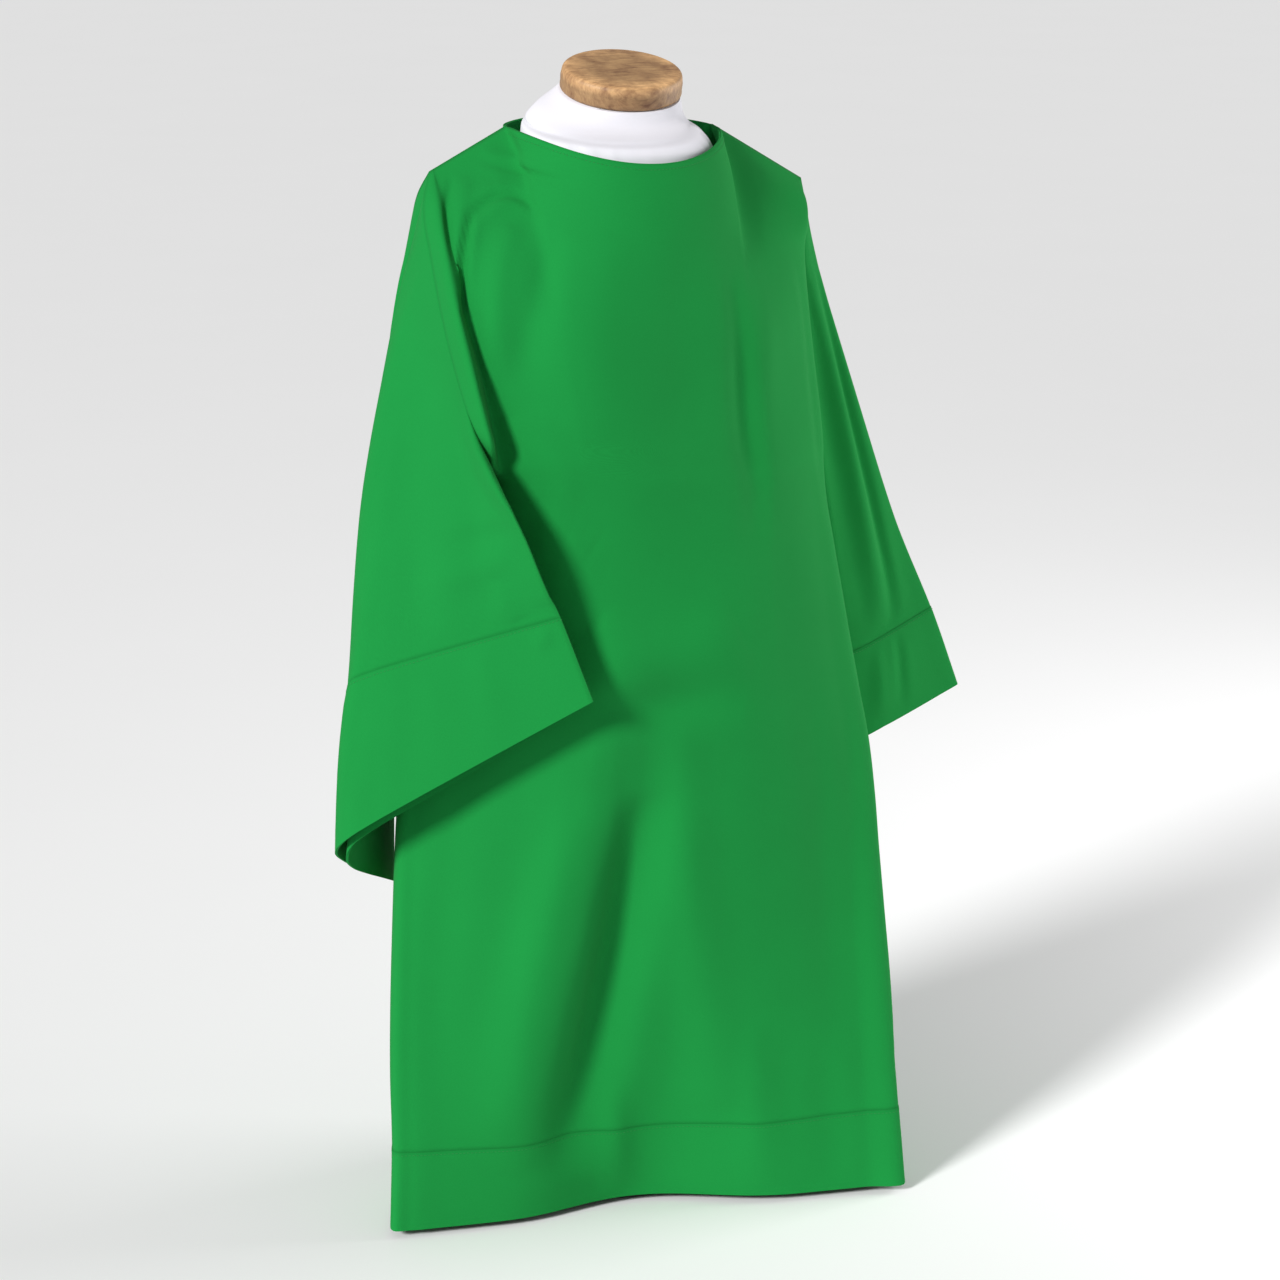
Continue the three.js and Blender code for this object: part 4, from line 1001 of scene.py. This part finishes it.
def stitch_tree():
    """Geometry nodes that lay a row of stitches along a line of edges."""
    tree = bpy.data.node_groups.new("Stitch row", "GeometryNodeTree")
    tree.interface.new_socket(name="Line", in_out="INPUT", socket_type="NodeSocketGeometry")
    for name in ("Stitch", "Pitch", "Thread"):
        tree.interface.new_socket(name=name, in_out="INPUT", socket_type="NodeSocketFloat")
    tree.interface.new_socket(name="Material", in_out="INPUT", socket_type="NodeSocketMaterial")
    tree.interface.new_socket(name="Stitches", in_out="OUTPUT", socket_type="NodeSocketGeometry")
    given, result = tree.nodes.new("NodeGroupInput"), tree.nodes.new("NodeGroupOutput")
    curve = tree.nodes.new("GeometryNodeMeshToCurve")
    points = add_node(tree, "GeometryNodeResampleCurve", props={"mode": "LENGTH"})
    tangent = tree.nodes.new("GeometryNodeInputTangent")
    turn = add_node(tree, "FunctionNodeAlignRotationToVector", props={"axis": "X"})
    bead = add_node(tree, "GeometryNodeMeshUVSphere", inputs={"Segments": 6, "Rings": 5, "Radius": 0.5})
    size = tree.nodes.new("ShaderNodeCombineXYZ")
    laid = tree.nodes.new("GeometryNodeInstanceOnPoints")
    real = tree.nodes.new("GeometryNodeRealizeInstances")
    paint = tree.nodes.new("GeometryNodeSetMaterial")
    for start, end in (
            (given.outputs["Line"], curve.inputs[0]), (curve.outputs[0], points.inputs["Curve"]),
            (given.outputs["Pitch"], points.inputs["Length"]), (points.outputs[0], laid.inputs["Points"]),
            (tangent.outputs[0], turn.inputs["Vector"]), (turn.outputs[0], laid.inputs["Rotation"]),
            (bead.outputs["Mesh"], laid.inputs["Instance"]), (given.outputs["Stitch"], size.inputs[0]),
            (given.outputs["Thread"], size.inputs[1]), (given.outputs["Thread"], size.inputs[2]),
            (size.outputs[0], laid.inputs["Scale"]), (laid.outputs[0], real.inputs[0]),
            (real.outputs[0], paint.inputs["Geometry"]),
            (given.outputs["Material"], paint.inputs["Material"]),
            (paint.outputs[0], result.inputs["Stitches"])):
        tree.links.new(start, end)
    return tree


def stitch_row(name, lines, tree, sizes, material):
    """Turns lines of points into one plain mesh of stitches."""
    points = np.concatenate(lines)
    edges = []
    first = 0
    for line in lines:
        edges += [(first + i, first + i + 1) for i in range(len(line) - 1)]
        first += len(line)
    piece = place_mesh(name, points, [])
    piece.data.edges.add(len(edges))
    piece.data.edges.foreach_set("vertices", np.array(edges).ravel())
    modifier = piece.modifiers.new("stitches", "NODES")
    modifier.node_group = tree
    values = {"Stitch": sizes.stitch, "Pitch": sizes.stitch_pitch, "Thread": sizes.thread,
              "Material": material}
    for item in tree.interface.items_tree:
        if item.name in values and item.in_out == "INPUT":
            modifier[item.identifier] = values[item.name]
    piece.update_tag()
    evaluated = piece.evaluated_get(bpy.context.evaluated_depsgraph_get())
    mesh = bpy.data.meshes.new_from_object(evaluated)
    piece.modifiers.clear()
    piece.data = mesh
    mesh.polygons.foreach_set("use_smooth", [True] * len(mesh.polygons))
    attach(piece, "root")


class DALMATIC_OT_stitches(bpy.types.Operator):
    """Lay the rows of stitches along the top of the hems and cuffs and round the neckline"""
    bl_idname = "dalmatic.make_stitches"
    bl_label = "Stitches"

    HEM_INSET = 0.5             # fine rows from a hem's or a cuff's top to its stitches
    NECK_INSET = 1.6            # fine rows from the neckline to its stitches
    CLEARANCE = 0.1             # the stitches' middle lies this far above the cloth, in millimetres

    def line_on(self, sheet, wall, row):
        """Points on a sheet's outer face, along a line between two of its fine rows."""
        low = int(row)
        middle, normal = (mix(rows[low], rows[low + 1], row - low) for rows in (sheet.grid, sheet.normals))
        return middle + normal * (wall / MM / 2 + self.CLEARANCE)

    def execute(self, context):
        sizes, looks = settings()
        material = thread_material("green_thread", looks.thread_colour)
        tree = stitch_tree()
        for name, keys in (("hem_stitches", ("hem_front", "hem_back")),
                           ("cuff_right_stitches", ("cuff_right",)),
                           ("cuff_left_stitches", ("cuff_left",))):
            lines = [self.line_on(SHEETS[key], sizes.turned_wall, self.HEM_INSET) for key in keys]
            stitch_row(name, lines, tree, sizes, material)
        neck = slice(NECK_START * COLUMN_STEPS, NECK_END * COLUMN_STEPS + 1)
        lines = [self.line_on(SHEETS[key], sizes.wall, self.NECK_INSET)[neck] for key in ("front", "back")]
        stitch_row("neckline_stitches", lines, tree, sizes, material)
        return {"FINISHED"}


# ---- The dress form and its stand ----------------------------------------------------------------
NECK = table("z right left front back lean", [
    (1213, 64, 62, -62, 54, 1), (1207, 74, 63, -63, 54, 0.95), (1198, 91, 64, -66, 55, 0.85),
    (1187, 105, 68, -74, 57, 0.5), (1175, 110, 80, -92, 60, 0.2), (1161, 110, 88, -102, 62, 0.05),
    (1147, 105, 90, -105, 63, 0),
])
CAP = {"x": -3, "y": -4, "z": 1213.4, "half_width": 64, "half_depth": 60, "thickness": 25, "tilt": 15.5}
NECK_RINGS = 67
NECK_RADIUS = 95                # on average, to turn depths into shares of it
# The seam round the neck, which rises towards the back, and the gathers of the cover below it.
COLLAR_SEAM = {"front_z": 1166, "front_y": -105, "rise": 0.2, "groove": 1.8, "width": 1.8}
GATHERS = {"depth": 1.1, "count": 31, "sway": 1.3, "sway_count": 7, "fade_in": 6}
# Painted light on the cap's wood: above 0 a painted highlight, below 0 painted shade.
TOP_PAINTED_LIGHT, RIM_HIGHLIGHT, SHOULDER_HIGHLIGHT, SIDE_SHADE = -0.1, 0.9, 0.5, -0.45


class DALMATIC_OT_form(bpy.types.Operator):
    """Make the dress form: its covered torso and neck and the wooden cap"""
    bl_idname = "dalmatic.make_form"
    bl_label = "Dress form"

    def cover(self):
        return cloth_material("form_cover", settings()[1].cover_colour, 0.0009, 0.05, 0.15)

    def torso(self):
        """The torso's own solid with its facets rounded, so that it stays inside the cloth."""
        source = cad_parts["torso"]
        mesh = source.data.copy()
        piece = bpy.data.objects.new("form_torso", mesh)
        bpy.context.collection.objects.link(piece)
        mesh.materials.clear()
        merge = piece.modifiers.new("merge", "WELD")
        merge.merge_threshold = 1e-5
        rounding = piece.modifiers.new("rounding", "SUBSURF")
        rounding.levels = rounding.render_levels = 2
        evaluated = piece.evaluated_get(bpy.context.evaluated_depsgraph_get())
        rounded = bpy.data.meshes.new_from_object(evaluated)
        piece.modifiers.clear()
        piece.data = rounded
        rounded.polygons.foreach_set("use_smooth", [True] * len(rounded.polygons))
        finish_piece(piece, self.cover(), "white_cloth", "torso")

    def neck(self, sides):
        """The covered neck, from below the cap down into the neckline, with its collar seam."""
        slope = math.tan(math.radians(CAP["tilt"]))
        rings, distances = [], []
        for z in np.linspace(NECK[0]["z"], NECK[-1]["z"], NECK_RINGS):
            section = read_table(NECK, z)
            ring = []
            for i in range(sides):
                angle = 2 * math.pi * i / sides
                c, s = (math.copysign(abs(v) ** 0.95, v) for v in (math.cos(angle), math.sin(angle)))
                half_depth = (section["back"] - section["front"]) / 2
                x, y = c * section["right" if c < 0 else "left"], section["front"] + half_depth * (1 + s)
                height = z + section["lean"] * slope * (y - CAP["y"])
                seam_z = COLLAR_SEAM["front_z"] + COLLAR_SEAM["rise"] * (y - COLLAR_SEAM["front_y"])
                below = seam_z - height
                groove = COLLAR_SEAM["groove"] * math.exp(-(below / COLLAR_SEAM["width"]) ** 2)
                sway = GATHERS["sway"] * math.sin(angle * GATHERS["sway_count"])
                uneven = 0.5 + 0.5 * math.sin(angle * 3 + 2)
                gathers = GATHERS["depth"] * math.sin(angle * GATHERS["count"] + sway) * uneven
                gathers *= float(smooth_step(below, 0, GATHERS["fade_in"]))
                shrink = 1 - (groove - gathers) / NECK_RADIUS
                ring.append((CAP["x"] + x * shrink, y * shrink, height))
                distances.append(abs(below) * MM)
            rings.append(ring)
        piece = turned_rings("form_neck", rings)
        # The distance to the collar seam sets the cover's painted shade and drawn-in relief along it.
        seam = piece.data.attributes.new("seam_distance", "FLOAT", "POINT")
        seam.data.foreach_set("value", distances + [1.0] * (len(piece.data.vertices) - len(distances)))
        finish_piece(piece, self.cover(), "white_cloth", "neck")

    def cap(self, sides):
        """The tilted wooden disc: its flat top, rounded rim, side and rounded lower edge."""
        half, thick = CAP["half_width"], CAP["thickness"]
        profile = [(0.55 * half, thick)]
        profile += [(half - 7 + 6.2 * math.sin(a), thick - 6 + 6 * math.cos(a))
                    for a in np.linspace(0.1, math.pi / 2, 7)]
        profile += [(half, thick * 0.55), (half * 0.995, thick * 0.3)]
        profile += [(half - 4 + 4 * math.cos(a), 4 - 4 * math.sin(a)) for a in np.linspace(0, 1.4, 5)]
        tilt = math.radians(CAP["tilt"])
        rings = []
        for radius, height in profile:
            ring = []
            for i in range(sides):
                angle = 2 * math.pi * i / sides
                x, y = radius * math.cos(angle), radius * math.sin(angle) * CAP["half_depth"] / half
                ring.append((CAP["x"] + x, CAP["y"] + y * math.cos(tilt) - height * math.sin(tilt),
                             CAP["z"] + y * math.sin(tilt) + height * math.cos(tilt)))
            rings.append(ring)
        piece = turned_rings("form_neck_cap", rings)
        # Painted highlight on the top of the rim and its shoulder, painted shade on the side and lower edge.
        painted_light = [TOP_PAINTED_LIGHT] + [RIM_HIGHLIGHT] * 3 + [SHOULDER_HIGHLIGHT] * 4 + [SIDE_SHADE] * (len(profile) - 8)
        rim = piece.data.attributes.new("painted_cap_light", "FLOAT", "POINT")
        rim.data.foreach_set("value", np.append(np.repeat(painted_light, sides), (TOP_PAINTED_LIGHT, SIDE_SHADE)))
        finish_piece(piece, wood_material(settings()[1]), "wood", "neck_cap")

    def execute(self, context):
        sides = context.scene.dalmatic_looks.sides
        self.torso()
        self.neck(sides)
        self.cap(sides)
        return {"FINISHED"}


class DALMATIC_OT_stand(bpy.types.Operator):
    """Make the steel pole and the round base"""
    bl_idname = "dalmatic.make_stand"
    bl_label = "Stand"

    BASE_PROFILE = ((30, 26), (31, 22), (44, 15), (92, 12.5), (96, 12), (97.6, 10.6), (98, 9), (98, 1),
                    (97, 0))
    POLE_PROFILE = ((13, 599.7), (13, 320), (13, 26.3))

    def execute(self, context):
        looks = context.scene.dalmatic_looks
        for name, profile, node in (("stand_base", self.BASE_PROFILE, "base"),
                                    ("stand_pole", self.POLE_PROFILE, "pole")):
            rings = [[(r * math.cos(a), r * math.sin(a) + BASE_SETBACK, z) for a in
                      np.linspace(0, 2 * math.pi, looks.sides, endpoint=False)] for r, z in profile]
            piece = turned_rings(name, rings)
            finish_piece(piece, stand_material(looks), "steel", node)
        return {"FINISHED"}


# ---- The stage -----------------------------------------------------------------------------------
CAMERA = {"azimuth": -20.0, "elevation": 15.5, "distance": 3.6, "target": (0.020, -0.020, 0.620),
          "focal_px": 3312.0, "image_px": 1280.0, "sensor_mm": 36.0}
# The key is a wide window-like sun from the garment's right; the fill stands at its left side.
KEY = {"towards": (-0.78, -0.42, 0.48), "strength": 3.6, "angle": 12.0}
FILL = {"place": (2.5, -0.2, 1.2), "size": 1.4, "energy": 42.0}
AMBIENT = 0.30
AIM = Vector((0, 0, 0.7))       # the point that the lights face
KEY_DISTANCE = 4
FLOOR_HALF = 30                 # half the floor's side, in metres
FLOOR_COLOUR = (0.90, 0.90, 0.90)


class DALMATIC_OT_stage(bpy.types.Operator):
    """Set up the pale floor, the soft lights and the camera"""
    bl_idname = "dalmatic.make_stage"
    bl_label = "Stage"

    def floor(self):
        mesh = bpy.data.meshes.new("floor")
        corners = [(x * FLOOR_HALF, y * FLOOR_HALF, 0) for x, y in ((-1, -1), (1, -1), (1, 1), (-1, 1))]
        mesh.from_pydata(corners, [], [(0, 1, 2, 3)])
        floor = bpy.data.objects.new("floor", mesh)
        bpy.context.collection.objects.link(floor)
        material, tree, surface = new_material("pale_floor")
        tone = mottled(tree, add_node(tree, "ShaderNodeTexCoord").outputs["Object"], 0.5, 0.02)
        tree.links.new(toned(tree, FLOOR_COLOUR, tone), surface.inputs["Base Color"])
        surface.inputs["Roughness"].default_value = 0.9
        mesh.materials.append(material)

    def light(self, name, kind, place, energy):
        data = bpy.data.lights.new(name, kind)
        data.energy = energy
        light = bpy.data.objects.new(name, data)
        light.location = place
        light.rotation_euler = (AIM - light.location).to_track_quat("-Z", "Y").to_euler()
        bpy.context.collection.objects.link(light)
        return data

    def camera(self):
        azimuth, elevation = (math.radians(CAMERA[key]) for key in ("azimuth", "elevation"))
        back = Vector((math.sin(azimuth) * math.cos(elevation),
                       -math.cos(azimuth) * math.cos(elevation), math.sin(elevation)))
        data = bpy.data.cameras.new("camera")
        data.sensor_width = CAMERA["sensor_mm"]
        data.lens = CAMERA["focal_px"] / CAMERA["image_px"] * CAMERA["sensor_mm"]
        data.clip_end = 200
        camera = bpy.data.objects.new("camera", data)
        camera.location = Vector(CAMERA["target"]) + back * CAMERA["distance"]
        camera.rotation_euler = (-back).to_track_quat("-Z", "Y").to_euler()
        bpy.context.collection.objects.link(camera)
        bpy.context.scene.camera = camera

    def execute(self, context):
        self.floor()
        key_place = Vector(KEY["towards"]) * KEY_DISTANCE + AIM
        self.light("key", "SUN", key_place, KEY["strength"]).angle = math.radians(KEY["angle"])
        self.light("fill", "AREA", FILL["place"], FILL["energy"]).size = FILL["size"]
        self.camera()
        world = bpy.data.worlds.new("studio")
        world.use_nodes = True
        world.node_tree.nodes["Background"].inputs["Color"].default_value = (1, 1, 1, 1)
        world.node_tree.nodes["Background"].inputs["Strength"].default_value = AMBIENT
        context.scene.world = world
        context.scene.view_settings.view_transform = "Standard"
        return {"FINISHED"}


PIECES = (DALMATIC_OT_form, DALMATIC_OT_stand, DALMATIC_OT_panels, DALMATIC_OT_hems, DALMATIC_OT_sleeves,
          DALMATIC_OT_cuffs, DALMATIC_OT_facings, DALMATIC_OT_stitches, DALMATIC_OT_stage)


class DALMATIC_PT_pieces(bpy.types.Panel):
    """The garment's settings and the pieces that can be made"""
    bl_label = "Dalmatic"
    bl_idname = "DALMATIC_PT_pieces"
    bl_space_type = "VIEW_3D"
    bl_region_type = "UI"
    bl_category = "Dalmatic"

    def draw(self, context):
        for group in (context.scene.dalmatic_sizes, context.scene.dalmatic_looks):
            box = self.layout.box()
            for name in group.bl_rna.properties.keys():
                if name not in ("rna_type", "name"):
                    box.prop(group, name)
        for piece in PIECES:
            self.layout.operator(piece.bl_idname)


CLASSES = (DalmaticSizes, DalmaticLooks, *PIECES, DALMATIC_PT_pieces)


def register():
    for cls in CLASSES:
        bpy.utils.register_class(cls)
    bpy.types.Scene.dalmatic_sizes = PointerProperty(type=DalmaticSizes)
    bpy.types.Scene.dalmatic_looks = PointerProperty(type=DalmaticLooks)


def unregister():
    del bpy.types.Scene.dalmatic_looks
    del bpy.types.Scene.dalmatic_sizes
    for cls in reversed(CLASSES):
        bpy.utils.unregister_class(cls)


def main():
    register()
    for piece in PIECES:
        group, name = piece.bl_idname.split(".")
        getattr(getattr(bpy.ops, group), name)()


if __name__ == "__main__":
    main()
